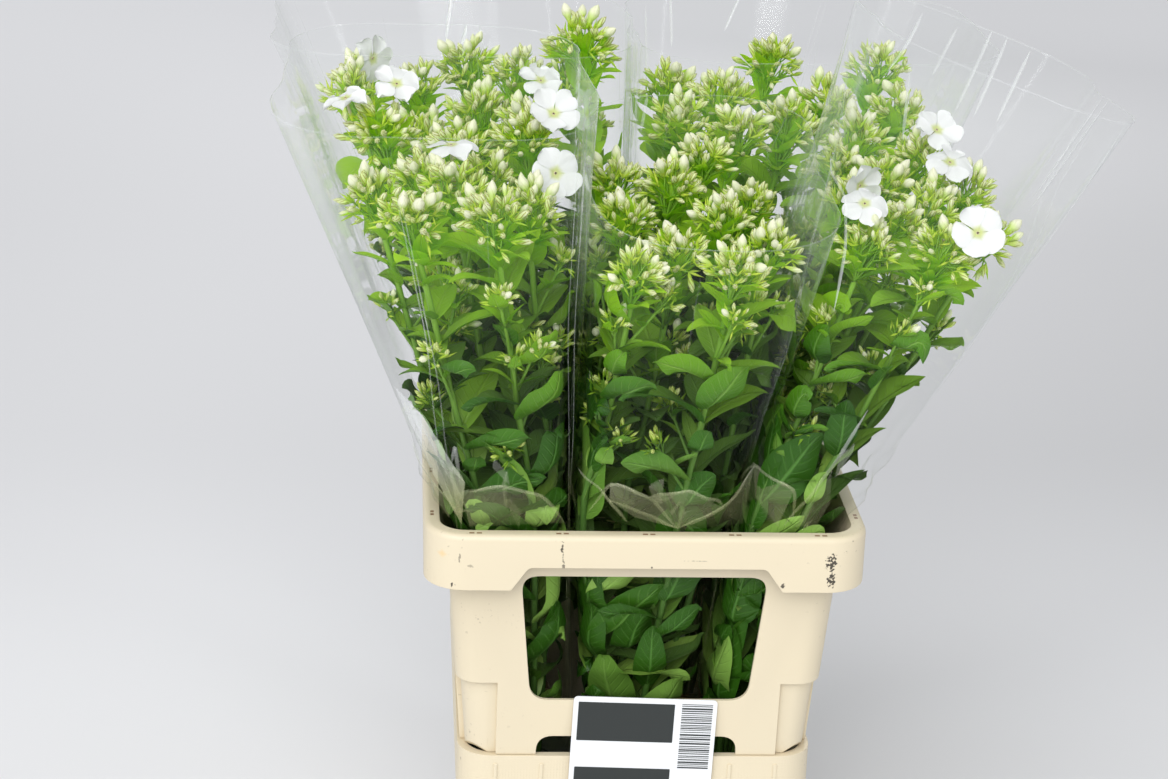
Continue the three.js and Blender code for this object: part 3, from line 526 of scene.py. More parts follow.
# Linear colours of single details, which no setting changes.
TINTS = {
    "leaf_young": (0.11, 0.44, 0.016),
    "leaf_blotch": (0.03, 0.10, 0.008),
    "vein_below": (0.11, 0.27, 0.05),
    "vein_above": (0.58, 0.90, 0.14),
    "stem_below": (0.05, 0.14, 0.02),
    "stem_above": (0.30, 0.58, 0.05),
    "stem_streak": (0.24, 0.36, 0.10),
    "calyx_yellow": (0.88, 0.98, 0.14),
    "calyx_skin": (0.88, 0.93, 0.46),
    "calyx_foot": (0.30, 0.58, 0.03),
    "calyx_below": (0.20, 0.46, 0.03),
    "bud_slim": (0.66, 0.86, 0.14),
    "bud_foot": (0.62, 0.86, 0.09),
    "bud_tip": (0.66, 0.62, 0.20),
    "bud_stripe": (0.38, 0.34, 0.05),
    "petal_vein": (0.74, 0.80, 0.72),
    "tube_foot": (0.50, 0.58, 0.28),
    "tube_streak": (0.78, 0.70, 0.62),
    "film_milk": (0.90, 0.92, 0.93),
    "film_below": (0.58, 0.60, 0.31),
    "film_clear": (0.992, 0.996, 0.993),
    "plastic_mottle": (0.80, 0.68, 0.46),
    "scratch": (0.50, 0.40, 0.26),
    "scuff": (0.030, 0.024, 0.018),
    "slot": (0.20, 0.085, 0.03),
    "stain": (0.78, 0.50, 0.16),
    "painted_corner_shade": (0.42, 0.31, 0.17),
    "black": (0.0, 0.0, 0.0),
}


class Flow:
    """A number or a colour on its way between nodes, with the usual signs for sums."""

    def __init__(self, recipe, socket):
        self.recipe, self.socket = recipe, socket

    def __add__(self, other):
        return self.recipe.math("ADD", self, other)

    def __radd__(self, other):
        return self.recipe.math("ADD", other, self)

    def __sub__(self, other):
        return self.recipe.math("SUBTRACT", self, other)

    def __rsub__(self, other):
        return self.recipe.math("SUBTRACT", other, self)

    def __mul__(self, other):
        return self.recipe.math("MULTIPLY", self, other)

    def __rmul__(self, other):
        return self.recipe.math("MULTIPLY", other, self)

    def __truediv__(self, other):
        return self.recipe.math("DIVIDE", self, other)

    def __pow__(self, other):
        return self.recipe.math("POWER", self, other)

    def __abs__(self):
        return self.recipe.math("ABSOLUTE", self)


class Recipe:
    """A material's node tree, written from its inputs towards its surface."""

    def __init__(self, name):
        self.material = bpy.data.materials.new(name)
        self.material.use_nodes = True
        self.tree = self.material.node_tree
        self.tree.nodes.clear()
        self.surface = self.tree.nodes.new("ShaderNodeOutputMaterial").inputs["Surface"]

    def join(self, value, socket):
        """Sets a socket to a number or a colour, or links a flow to it."""
        if isinstance(value, Flow):
            self.tree.links.new(value.socket, socket)
        elif hasattr(value, "__len__"):
            spare = len(socket.default_value) - len(value)
            socket.default_value = (*value, *[1.0] * spare)
        else:
            socket.default_value = value

    def node(self, kind, inputs, **settings):
        """The outputs of a node, from its settings and what goes into its inputs."""
        made = self.tree.nodes.new(f"ShaderNode{kind}")
        for key, value in settings.items():
            setattr(made, key, value)
        for key, value in inputs.items():
            self.join(value, made.inputs[key])
        return [Flow(self, output) for output in made.outputs]

    def math(self, operation, a, b=0.0, clamp=False):
        return self.node("Math", {0: a, 1: b}, operation=operation, use_clamp=clamp)[0]

    def saw(self, value):
        """A wave that climbs from 0 to 1 once for each whole number."""
        return self.math("FRACT", value)

    def mix(self, factor, a, b):
        """One colour towards another."""
        return self.node("Mix", {0: factor, 6: a, 7: b}, data_type="RGBA")[2]

    def span(self, value, low, high, to_low=0.0, to_high=1.0):
        """value from low to high carried over, smoothly, to another range."""
        inputs = dict(enumerate((value, low, high, to_low, to_high)))
        return self.node("MapRange", inputs, interpolation_type="SMOOTHSTEP")[0]

    def place(self):
        """Coordinates in the object's own frame, in metres."""
        return self.node("TexCoord", {})[3]

    def axes(self, vector):
        return self.node("SeparateXYZ", {"Vector": vector})

    def height(self):
        return self.axes(self.place())[2]

    def across_and_along(self):
        """Where a point is on its own blade, petal or bud, across it and along it, from 0 to 1."""
        return self.axes(self.node("UVMap", {}, uv_map="shape")[0])

    def tone(self):
        """A number that each leaf, bud or facet has of its own."""
        return self.node("Attribute", {}, attribute_name="tone")[2]

    def noise(self, scale, detail=3.0, vector=None):
        vector = vector or self.place()
        return self.node("TexNoise", {"Scale": scale, "Detail": detail, "Vector": vector})[0]

    def stretched(self, scale, detail, vector):
        """Noise with a scale for each axis."""
        return self.noise(1.0, detail, self.node("Mapping", {"Vector": vector, "Scale": scale})[0])

    def bump(self, height, strength, distance):
        return self.node("Bump", {"Height": height, "Strength": strength, "Distance": distance})[0]

    def skin(self, base, roughness, **inputs):
        """The shader of a solid surface."""
        inputs = {key.replace("_", " "): value for key, value in inputs.items()}
        return self.node("BsdfPrincipled", {"Base Color": base, "Roughness": roughness, **inputs})[0]

    def blend(self, factor, first, second):
        """One shader towards another."""
        return self.node("MixShader", {0: factor, 1: first, 2: second})[0]

    def finish(self, shader):
        self.join(shader, self.surface)
        return self.material


def leafy(r, base, normal, roughness, through):
    """A leaf's shader: satin, with some of the light coming through."""
    skin = r.skin(base, roughness, Specular_IOR_Level=LEAF_GLOSS, Normal=normal)
    glow = r.node("BsdfTranslucent", {"Color": base, "Normal": normal})[0]
    return r.finish(r.blend(through, skin, glow))


def darker(tint, left):
    """A colour with only a part of its light left."""
    return tuple(left * value for value in tint)


def leaf_material(settings):
    """Leaf blade: midrib and looping side veins, pale behind, dark below and yellow green above, which is
    partly the leaves' own colour and partly painted shade low down and painted light on top.
    """
    r = Recipe("phlox_leaf")
    across, along = r.across_and_along()[:2]
    off = abs(across * 2.0 - 1.0)
    tone = r.tone()
    height = r.height()
    # Darker low down and brighter towards the heads: partly the leaves' own colour, partly painted shade and
    # light.
    young_and_lit = r.math("ADD", r.span(height, 0.455, 0.655), (tone - 0.5) * 0.5, clamp=True)
    blotch = r.noise(60.0)
    base = r.mix(young_and_lit, settings.shade, TINTS["leaf_young"])
    base = r.mix(young_and_lit ** 1.8, base, settings.bright)
    base = r.mix(blotch * 0.22, base, r.mix(young_and_lit, TINTS["leaf_blotch"], settings.shade))
    wave = abs(r.saw(along * 9.0 - off * 1.7) - 0.5)
    veins = r.span(wave, 0.36, 0.49) * r.span(off, 0.98, 0.6)
    lines = r.math("MAXIMUM", veins * 0.45, r.span(off, 0.12, 0.02))
    base = r.mix(lines * 0.60, base, r.mix(young_and_lit, TINTS["vein_below"], TINTS["vein_above"]))
    pale = r.span(tone, 0.66, 0.82, 0.0, 0.75) * r.span(height, 0.49, 0.42)
    base = r.mix(pale, base, r.mix(0.15, settings.under, settings.bright))
    behind = r.node("NewGeometry", {})[6]
    base = r.mix(behind * 0.55, base, r.mix(young_and_lit, darker(settings.under, 0.42), settings.bright))
    return leafy(r, base, r.bump(blotch - lines, 1.0, 0.0005), 0.38, r.span(young_and_lit, 0.2, 0.9, 0.06, 0.58))


def stem_material():
    """Stem: streaked green, yellower towards its head."""
    r = Recipe("phlox_stem")
    base = r.mix(r.span(r.height(), 0.40, 0.66), TINTS["stem_below"], TINTS["stem_above"])
    streaks = r.stretched((900.0, 900.0, 60.0), 4.0, r.place())
    base = r.mix(streaks * 0.25, base, TINTS["stem_streak"])
    return leafy(r, base, r.bump(streaks, 0.25, 0.0004), 0.5, 0.05)


def calyx_material(settings):
    """Calyx and its bracts: green ribs with pale skin between them, greener low on the plant."""
    r = Recipe("phlox_calyx")
    across, along = r.across_and_along()[:2]
    ribs = abs(r.saw(across * 5.0) - 0.5)
    base = r.mix(r.tone() * 0.9, settings.calyx, TINTS["calyx_yellow"])
    base = r.mix(r.span(ribs, 0.28, 0.46, 0.0, 0.55), base, TINTS["calyx_skin"])
    base = r.mix(r.span(along, 0.35, 0.0, 0.0, 0.45), base, TINTS["calyx_foot"])
    base = r.mix(r.span(r.height(), 0.58, 0.46, 0.0, 0.7), base, TINTS["calyx_below"])
    return leafy(r, base, r.bump(ribs, 0.3, 0.0003), 0.5, 0.56)


def bud_material(settings):
    """Bud: rolled petals with brownish stripes and tip, green when slim and plain cream when ripe."""
    r = Recipe("phlox_bud")
    across, along = r.across_and_along()[:2]
    tone = r.tone()
    base = r.mix(tone, TINTS["bud_slim"], settings.bud)
    base = r.mix(r.span(along, 0.60, 0.15, 0.0, 0.75), base, TINTS["bud_foot"])
    slim = r.span(tone, 0.85, 0.75)
    base = r.mix(slim * r.span(along, 0.75, 1.0, 0.0, 0.4), base, TINTS["bud_tip"])
    twist = r.saw(across * 5.0 + along * 1.6)
    seam = r.span(abs(twist - 0.5), 0.27, 0.45) * r.span(slim, 0.0, 1.0, 0.15, 0.90)
    base = r.mix(seam, base, TINTS["bud_stripe"])
    return leafy(r, base, r.bump(twist, 0.2, 0.0003), 0.45, 0.26)


def petal_material(settings):
    """Petal: white with faint veins and a yellow green eye."""
    r = Recipe("phlox_petal")
    across, along = r.across_and_along()[:2]
    base = r.mix(r.span(along, 0.30, 0.06), settings.petal, settings.eye)
    fan = r.saw(abs(across - 0.5) * 14.0)
    veins = r.span(fan, 0.75, 1.0) * r.span(along, 1.0, 0.3)
    base = r.mix(veins * 0.10, base, TINTS["petal_vein"])
    return leafy(r, base, r.bump(veins * 0.5 + r.noise(420.0, 2.0), 0.22, 0.0004), 0.55, 0.20)


def tube_material(settings):
    """Flower tube: greenish at the foot, flushed towards the mouth."""
    r = Recipe("phlox_tube")
    along = r.across_and_along()[1]
    base = r.mix(r.span(along, 0.1, 0.8), TINTS["tube_foot"], settings.tube)
    streaks = r.noise(500.0)
    base = r.mix(streaks * 0.3, base, TINTS["tube_streak"])
    return leafy(r, base, r.bump(streaks, 0.2, 0.0003), 0.5, 0.15)


def film_material(name, haze, gloss, strength, mirror):
    """Clear film: nearly unseen face on, and brighter where it turns away or is welded; its milky haze is
    real, and on the folds, flaps and cut edge it is also a painted highlight.
    """
    r = Recipe(name)
    turned = r.node("LayerWeight", {"Blend": 0.5})[1]
    fresnel = 0.018 + turned ** 5.0 * 0.98
    place = r.place()
    cloud = r.span(r.noise(9.0, 4.0, place), 0.40, 0.75, 0.35, 1.0)
    height = r.axes(place)[2]
    high = r.span(height, 0.52, 0.64)
    # Milky haze: real cloudiness of the film, and on the folds, flaps and cut edge a painted highlight.
    milk_and_highlight = cloud * haze * (1.0 + r.tone()) + cloud * high * 0.010
    shine = fresnel * strength * r.span(height, 0.42, 0.62, 0.25, 1.0)
    milk = r.mix(r.span(height, 0.478, 0.425), TINTS["film_milk"], TINTS["film_below"])
    skin = r.skin(milk, gloss, Metallic=mirror * (1.0 - high * 0.6),
                  Normal=r.bump(r.noise(70.0, 3.0, place), 0.10, 0.0012))
    clear = r.node("BsdfTransparent", {"Color": TINTS["film_clear"]})[0]
    return r.finish(r.blend(r.math("ADD", shine, milk_and_highlight, clamp=True), clear, skin))


# Scuffs on the front of the rim: x, z, half width, half height and strength.
SCUFFS = (
    (0.1235, 0.3870, 0.0050, 0.0075, 0.95),
    (0.1240, 0.3745, 0.0040, 0.0060, 0.95),
    (0.0915, 0.3700, 0.0020, 0.0022, 0.90),
    (-0.1310, 0.3690, 0.0020, 0.0018, 0.95),
    (-0.0580, 0.3965, 0.0014, 0.0045, 0.90),
    (-0.0575, 0.3900, 0.0005, 0.0080, 0.60),
    (-0.0570, 0.3830, 0.0012, 0.0050, 0.75),
    (-0.1265, 0.3880, 0.0008, 0.0060, 0.55),
    (-0.1190, 0.3830, 0.0034, 0.0012, 0.40),
    (0.0320, 0.3880, 0.0090, 0.0005, 0.35),
    (0.0020, 0.3830, 0.0009, 0.0009, 0.85),
)
SLOT_STEPS = (0.058, 0.080)
SLOT_REACH = (0.125, 0.172)


def slot_shade_mask(r, axes):
    """The pairs of small slots in the top of the rim, along its short and its long sides, whose shade is
    painted dark.
    """
    masks = []
    for along, step, reach, edge in zip((0, 1), SLOT_STEPS, SLOT_REACH, (RIM[1], RIM[0])):
        away = abs((r.saw(axes[along] / step + 0.5) - 0.5) * step)
        pair = r.span(away, 0.0006, 0.0010) * r.span(away, 0.0044, 0.0040)
        deep = edge - abs(axes[1 - along])
        row = r.span(deep, 0.0038, 0.0044) * r.span(deep, 0.0068, 0.0062)
        masks.append(pair * row * r.span(abs(axes[along]), reach + 0.001, reach))
    return r.math("MAXIMUM", *masks) * r.span(axes[2], 0.4036, 0.4042)


def scuff_mask(r, axes, ragged):
    """Where the scuffs are, with ragged edges."""
    total = 0.0
    for x, z, wide, tall, amount in SCUFFS:
        across, up = (axes[0] - x) / wide, (axes[2] - z) / tall
        away = across * across + up * up
        total = r.math("MAXIMUM", total, r.span(away + ragged, 1.0, 0.55, 0.0, amount))
    return total * r.span(axes[1], -0.193, -0.196)


def plastic_material(settings):
    """Moulded cream plastic with dusty specks towards its corners, scuffs and fine scratches, and painted
    shade in its hollows and slots.
    """
    r = Recipe("cream_plastic")
    place = r.place()
    axes = r.axes(place)
    x, z = axes[0], axes[2]
    blotch = r.noise(8.0, 5.0, place)
    base = r.mix(r.span(blotch, 0.40, 0.78, 0.0, 0.16), settings.plastic, TINTS["plastic_mottle"])
    corner = r.span(abs(x), 0.085, 0.135, 0.2, 1.0)
    patches = r.span(r.noise(21.0, 3.0, place), 0.50, 0.66)
    specks = r.span(r.noise(340.0, 2.0, place), 0.66, 0.74, 0.0, 0.55)
    base = r.mix(specks * (patches * corner), base, settings.grime)
    scratch = r.span(r.stretched((420.0, 420.0, 26.0), 2.0, place), 0.70, 0.78, 0.0, 0.22)
    base = r.mix(scratch * patches, base, TINTS["scratch"])
    ragged = (r.noise(520.0, 3.0, place) - 0.42) * 5.0
    base = r.mix(scuff_mask(r, axes, ragged), base, TINTS["scuff"])
    slots = slot_shade_mask(r, axes)
    # Painted shade: the slots are a dark colour and a shallow bump, not holes.
    base = r.mix(slots * 0.85, base, TINTS["slot"])
    stain = abs((x + 0.138) * 260.0) + abs((z - 0.390) * 300.0)
    base = r.mix(r.span(stain, 1.2, 0.2, 0.0, 0.45), base, TINTS["stain"])
    # Painted shade: ambient occlusion darkens the plastic in its hollows and inside corners.
    open_air = r.node("AmbientOcclusion", {"Distance": 0.012}, samples=4)[1]
    base = r.mix(r.span(open_air, 0.75, 0.25, 0.0, 0.40), base, TINTS["painted_corner_shade"])
    lattice = r.math("SINE", (x + z) * 1500.0) * r.math("SINE", (x - z) * 1500.0)
    band = r.span(z, 0.192, 0.195) * r.span(z, 0.2285, 0.2265)
    relief = r.noise(1400.0, 2.0, place) * 0.30 + lattice * (band * 0.45) - slots * 2.0
    satin = r.span(blotch, 0.3, 0.7, 0.40, 0.54)
    return r.finish(r.skin(base, satin, Specular_IOR_Level=0.45, Normal=r.bump(relief, 0.22, 0.0005)))


def paper_material(name, tint, roughness):
    """Coated card or the ink on it, with a faint tooth."""
    r = Recipe(name)
    tooth = r.noise(900.0, 2.0)
    base = r.mix(tooth * 0.12, tint, darker(tint, 0.8))
    return r.finish(r.skin(base, roughness, Normal=r.bump(tooth, 0.05, 0.0002)))


def floor_material(settings):
    """Pale paper with painted shade, a little darker towards the right and in the middle distance."""
    r = Recipe("floor_paper")
    x, y = r.axes(r.place())[:2]
    right = r.span(x, -0.6, 1.0)
    middle = r.span(y, 0.3, 1.1) * r.span(y, 3.6, 1.8)
    shade = right * 0.09 + middle * 0.15 + right * middle * 0.10
    return r.finish(r.skin(r.mix(shade, settings.floor, TINTS["black"]), 0.85))


def water_material(settings):
    """Still, slightly cloudy water."""
    r = Recipe("bucket_water")
    base = r.mix(r.noise(30.0), settings.water, darker(settings.water, 0.7))
    return r.finish(r.skin(base, 0.08, Normal=r.bump(r.noise(25.0, 2.0), 0.1, 0.002)))


def rubber_material(settings):
    """Tan rubber band, wound in strands, each strand darker at one edge as painted shade between the
    strands.
    """
    r = Recipe("tie_rubber")
    strands = r.saw(r.height() * 700.0)
    # Painted shade: a dark edge on each strand stands for the shade between them.
    base = r.mix(r.span(strands, 0.0, 0.3), darker(settings.rubber, 0.5), settings.rubber)
    return r.finish(r.skin(base, 0.65, Normal=r.bump(strands, 0.5, 0.0008)))


# ------------------------------------------------------------------ leaves

LEAF_ROWS = 13
LEAF_COLUMNS = 5
LEAF_CLIMB = 0.35
LEAF_TROUGH = 0.36
LEAF_WAVE = 0.10
LEAF_TWIST = 0.22
LEAF_STRAY = 0.25
LEAF_SIZES = (0.42, 1.15)
LEAF_SIZE_CHANGE = 0.355
HEAD_LEAVES = 18
HEAD_LEAF_TURN = 2.4
LEAF_ALONG = lerp(np.linspace(0, 1, LEAF_ROWS), (1 - np.cos(np.linspace(0, np.pi, LEAF_ROWS))) / 2, 0.6)


class Leaves(NamedTuple):
    """Many leaves: where each is rooted, which way it points, its size, how it hangs and how
    young its green is."""

    roots: np.ndarray
    azimuths: np.ndarray
    lengths: np.ndarray
    widths: np.ndarray
    rises: np.ndarray
    droops: np.ndarray
    tones: np.ndarray


class Habit(NamedTuple):
    """How one kind of leaf grows, each from its least to its most: its width against the width it
    could have, how far it rises and droops, in radians, and its tone."""

    width: tuple
    rise: tuple
    droop: tuple
    tone: tuple

    def leaves(self, roots, azimuths, lengths, widths, draws):
        """Leaves of this habit, each a little unlike the others."""
        width, rises, droops, tones = (draws.uniform(*ends, len(roots)) for ends in self)
        return Leaves(roots, azimuths, lengths, widths * width, rises, droops, tones)


STEM_LEAF = Habit((0.72, 1.15), (0.45, 1.15), (0.30, 1.6), (0.0, 1.0))
HEAD_LEAF = Habit((0.26, 0.40), (0.4, 1.25), (0.0, 0.7), (1.0, 1.9))
SHOOT_LEAF = Habit((0.30, 0.46), (0.5, 1.2), (0.2, 1.0), (0.4, 1.2))


def leaf_spines(bunch, leaves):
    """Midribs of many leaves: each arches out, and slides up the film where it meets it."""
    azimuths = leaves.azimuths
    outward = np.column_stack([np.cos(azimuths), np.sin(azimuths), np.zeros(len(azimuths))])
    spine, faces = [leaves.roots], []
    for s, gap in zip(LEAF_ALONG, np.diff(LEAF_ALONG)):
        step = leaves.lengths[:, None] * gap
        steep = (leaves.rises + leaves.droops * s)[:, None]
        along = outward * np.sin(steep) + UP * np.cos(steep)
        upper = UP * np.sin(steep) - outward * np.cos(steep)
        distance, facing = film_at(bunch, spine[-1] + along * step)
        meets = (distance > -CLEARANCE)[:, None]
        slid = unit(along - facing * np.sum(along * facing, axis=1, keepdims=True) + UP * LEAF_CLIMB)
        reach = spine[-1] + np.where(meets, slid, along) * step
        spine.append(pushed_inside(bunch, reach, CLEARANCE))
        faces.append(np.where(meets, -facing, upper))
    faces.append(faces[-1])
    return np.stack(spine, axis=1), np.stack(faces, axis=1)


def smoothed(rows, times=2):
    """Rows of directions, each blended with its neighbours."""
    for _ in range(times):
        middle = (rows[:, :-2] + 2 * rows[:, 1:-1] + rows[:, 2:]) / 4
        rows = np.concatenate([rows[:, :1], middle, rows[:, -1:]], axis=1)
    return rows


def add_leaves(surface, bunch, leaves, draws):
    """Blades on their midribs: pointed, folded a little along the middle, with waving edges."""
    spine, upper = leaf_spines(bunch, leaves)
    m = len(leaves.roots)
    spine = smoothed(spine)
    upper = unit(smoothed(upper, 5))
    along = unit(np.gradient(spine, axis=1))
    side = unit(np.cross(upper, along))
    face = np.cross(along, side)
    s = LEAF_ALONG
    half = s ** 0.60 * (1 - s) ** 0.85
    half = 0.5 * (0.05 + half / half.max())
    half[-1] = 0.01
    u = np.linspace(-1, 1, LEAF_COLUMNS)
    halves = leaves.widths[:, None, None] * half[None, :, None]
    phase = draws.uniform(0, ANY_TURN, (m, 1, 1))
    wave = LEAF_WAVE * np.sin(phase + 8 * s[None, :, None] + 2.0 * np.sign(u)) * np.abs(u) ** 2
    twist = draws.normal(0, LEAF_TWIST, (m, 1, 1)) * s[None, :, None]
    lift = halves * (LEAF_TROUGH * np.abs(u) + wave + twist * u)
    points = (spine[:, :, None] + side[:, :, None] * (halves * u)[..., None]
              + face[:, :, None] * lift[..., None])
    points = pushed_inside(bunch, points, CLEARANCE * 0.6)
    n = LEAF_ROWS * LEAF_COLUMNS
    cell = grid_faces(LEAF_ROWS, LEAF_COLUMNS)
    faces = (cell[None] + (np.arange(m) * n)[:, None, None]).reshape(-1, 4)
    uv = np.stack(np.meshgrid(s, (u + 1) / 2, indexing="ij")[::-1], axis=-1).reshape(-1, 2)
    surface.add(points.reshape(-1, 3), faces, np.tile(uv, (m, 1)), np.repeat(leaves.tones, n))


def leaf_size(settings, z):
    """Length and width of a leaf by the height it grows at."""
    t = np.clip((z - WINDOW_LEAVES_Z) / LEAF_SIZE_CHANGE, 0, 1)
    return (lerp(settings.low_length, settings.high_length, t),
            lerp(settings.low_width, settings.high_width, t))


def stem_leaves(bunch, stem, settings, draws):
    """Opposite pairs of leaves up a stem, each pair turned a right angle to the last."""
    top = stem.head[2] - bunch.head_radius * 0.7
    heights = np.arange(lowest_leaves(bunch, stem), top, settings.pair_step)
    heights = np.repeat(heights + draws.uniform(-0.006, 0.006, len(heights)), 2)
    pairs, sides = np.divmod(np.arange(len(heights)), 2)
    azimuths = stem.turn + math.pi / 4 + pairs * math.pi / 2 + sides * math.pi
    azimuths = azimuths + draws.normal(0, LEAF_STRAY, len(heights))
    lengths, widths = leaf_size(settings, heights)
    size = draws.uniform(*LEAF_SIZES, len(heights))
    return STEM_LEAF.leaves(point_on(stem, heights), azimuths, lengths * size, widths * size ** 0.8, draws)


def head_leaves(middle, lean, radius, draws):
    """Narrow young leaves under and between the clusters of a head."""
    roots = middle + lean * radius * draws.uniform(-0.9, -0.1, (HEAD_LEAVES, 1))
    azimuths = np.arange(HEAD_LEAVES) * HEAD_LEAF_TURN + draws.uniform(0, ANY_TURN)
    lengths = radius * draws.uniform(0.60, 1.15, HEAD_LEAVES)
    return HEAD_LEAF.leaves(roots, azimuths, lengths, lengths, draws)


def shoot_leaves(shoot, draws):
    """Two small pairs of leaves on a side shoot."""
    t = np.repeat([0.5, 0.85], 2)[:, None]
    roots = shoot.root + (shoot.middle - shoot.root) * t
    azimuths = shoot.azimuth + np.array([1.57, -1.57, 0.2, 3.3]) + draws.normal(0, 0.3, 4)
    lengths = draws.uniform(0.016, 0.030, 4)
    return SHOOT_LEAF.leaves(roots, azimuths, lengths, lengths, draws)


def together(groups):
    """Several groups of leaves as one."""
    return Leaves(*(np.concatenate(parts) for parts in zip(*groups)))


# ------------------------------------------------------------------ heads of buds

# Outlines of the buds, as (radius, height) pairs of a bud one unit wide and tall.
CALYX = [(0.16, 0.0), (0.62, 0.14), (0.84, 0.34), (0.78, 0.50)]
SPIKE = [(0.35, 0.0), (1.0, 0.40), (0.04, 1.0)]
SLIM_BUD = [(0.55, 0.25), (1.0, 0.55), (0.80, 0.80), (0.04, 1.0)]
RIPE_BUD = [(0.42, 0.28), (0.60, 0.42), (1.0, 0.60), (0.95, 0.74), (0.55, 0.90), (0.03, 1.0)]

CALYX_TEETH = {"count": 5, "reach": 1.05, "tip": 0.84}
STALK_RADIUS = {"side": 0.0013, "fork": 0.0010, "fine": 0.0007}
SPIKE_SIZE = (0.0112, 0.00110)
SPIKE_SPREAD = 0.62
FORK = {"out": 0.26, "back": 0.14, "stalks": 3, "spread": 0.34, "lift": 0.10, "reach": (0.36, 0.62)}
BUD_LIFT = 0.28
FULL_HEAD_RADIUS = 0.031
CALYX_SLOT, BUD_SLOT, STALK_SLOT = range(3)

# Slighter side shoots, which the frame doesn't have.
FINE_SHOOT = {"lowest": 0.430, "below_head": 0.055, "step": 0.034, "share": 0.74}


class Head(NamedTuple):
    """Where a cluster of buds stands, its size, and how full and how ripe it is."""

    base: np.ndarray
    middle: np.ndarray
    lean: np.ndarray
    radius: float
    fullness: float
    ripeness: float


class Shoot(NamedTuple):
    """A side shoot from its stem to the middle of its small head."""

    root: np.ndarray
    middle: np.ndarray
    azimuth: float


class BudKind(NamedTuple):
    """A kind of bud in its calyx: how far it strays from its stalk, its length against a ripe bud's,
    the calyx's girth, how far the bud swells past it, and its outline."""

    spread: float
    length: float
    girth: float
    swell: float
    outline: list
    sides: int


SLIM = BudKind(0.42, 0.74, 0.00162, 1.32, SLIM_BUD, 6)
RIPE = BudKind(0.30, 1.0, 0.00180, 1.85, RIPE_BUD, 8)


def calyx_template():
    """A slim ribbed cup with five long pointed teeth, one unit tall and wide."""
    count, reach = CALYX_TEETH["count"], CALYX_TEETH["reach"]
    points, faces, uv = lathe(CALYX, count)
    rim = (len(CALYX) - 1) * count
    angles = (np.arange(count) + 0.5) * 2 * math.pi / count
    height = np.full(count, CALYX_TEETH["tip"])
    tips = np.column_stack([reach * np.cos(angles), reach * np.sin(angles), height])
    teeth = [(rim + i, rim + (i + 1) % count, len(points) + i) for i in range(count)]
    tip_uv = np.column_stack([(np.arange(count) + 0.5) / count, np.ones(count)])
    return np.vstack([points, tips]), np.vstack([faces, teeth]), np.vstack([uv, tip_uv])


def add_buds(surface, bunch, feet, aims, lengths, girths, template, tones, draws, slot):
    """Copies of one kind of bud, each bent back inside the film with its tip."""
    tips = pushed_inside(bunch, feet + aims * lengths[:, None], CLEARANCE * 0.7)
    aims = unit(tips - feet)
    turns = frames_facing(aims, draws.uniform(0, ANY_TURN, len(feet)))
    surface.add_copies(template, turns, feet, np.column_stack([girths, girths, lengths]), tones, slot)


def add_head(surface, bunch, head, settings, draws):
    """A dome of forked stalks that carry spikes, slim buds and ripe buds."""
    cymes = max(4, round(settings.cymes * head.fullness ** 0.5))
    k = np.arange(cymes)
    polar = np.arccos(1 - 1.12 * (k + 0.5) / cymes)
    azimuth = k * GOLDEN_TURN + draws.uniform(0, ANY_TURN)
    out = np.column_stack([np.sin(polar) * np.cos(azimuth), np.sin(polar) * np.sin(azimuth), np.cos(polar)])
    out = unit(out @ frames_facing(head.lean[None])[0].T + draws.normal(0, 0.12, (cymes, 3)))
    forks = head.middle + (out * FORK["out"] - head.lean * FORK["back"]) * head.radius
    sticks(surface, np.tile(head.base, (cymes, 1)), forks, STALK_RADIUS["fork"], 0.4, STALK_SLOT)
    ways = np.repeat(out, FORK["stalks"], axis=0)
    ways = unit(ways + draws.normal(0, FORK["spread"], ways.shape) + FORK["lift"] * UP)
    ends = head.middle + ways * head.radius * draws.uniform(*FORK["reach"], (len(ways), 1))
    ends = pushed_inside(bunch, ends, CLEARANCE + 0.004)
    forks = np.repeat(forks, FORK["stalks"], axis=0)
    sticks(surface, forks, ends, STALK_RADIUS["fine"], 0.6, STALK_SLOT, sides=3)
    reach = (head.radius / FULL_HEAD_RADIUS) ** 0.35

    def grow(count, spread, longest, girth):
        """Feet, directions, lengths and girths of one kind of bud, spread over the stalks."""
        count = round(count * head.fullness)
        on = draws.permutation(np.arange(count) % len(ends))
        aims = unit(ways[on] + draws.normal(0, spread, (count, 3)) + BUD_LIFT * UP)
        sizes = reach * draws.uniform(0.75, 1.12, count)
        return ends[on], aims, longest * sizes, girth * sizes * draws.uniform(0.88, 1.12, count)

    green = 1 - head.ripeness
    longest, girth = SPIKE_SIZE
    spikes = grow(settings.spikes * (1 + 0.4 * green), SPIKE_SPREAD, longest, girth * (1 + 0.5 * green))
    tones = draws.uniform(0, 1, len(spikes[0]))
    add_buds(surface, bunch, *spikes, lathe(SPIKE, 3), tones, draws, CALYX_SLOT)
    for kind, count, ripeness in (
            (SLIM, settings.slim, (0.40 * head.ripeness, 0.30 + 0.55 * head.ripeness)),
            (RIPE, settings.ripe * head.ripeness, (0.88, 1.0))):
        feet, aims, lengths, girths = grow(count, kind.spread, settings.bud_length * kind.length, kind.girth)
        tones = draws.uniform(0, 1, len(feet))
        bud = lathe(kind.outline, kind.sides)
        add_buds(surface, bunch, feet, aims, lengths, girths, calyx_template(), tones, draws, CALYX_SLOT)
        add_buds(surface, bunch, feet, aims, lengths, girths * kind.swell, bud, lerp(*ripeness, tones),
                 draws, BUD_SLOT)


def stem_heads(bunch):
    """The large head at the end of each stem of a bunch."""
    return [Head(stem.head - stem.lean * bunch.head_radius * HEAD_BASE, stem.head, stem.lean,
                 bunch.head_radius, 1.0, 1.0) for stem in stems_of(bunch)]


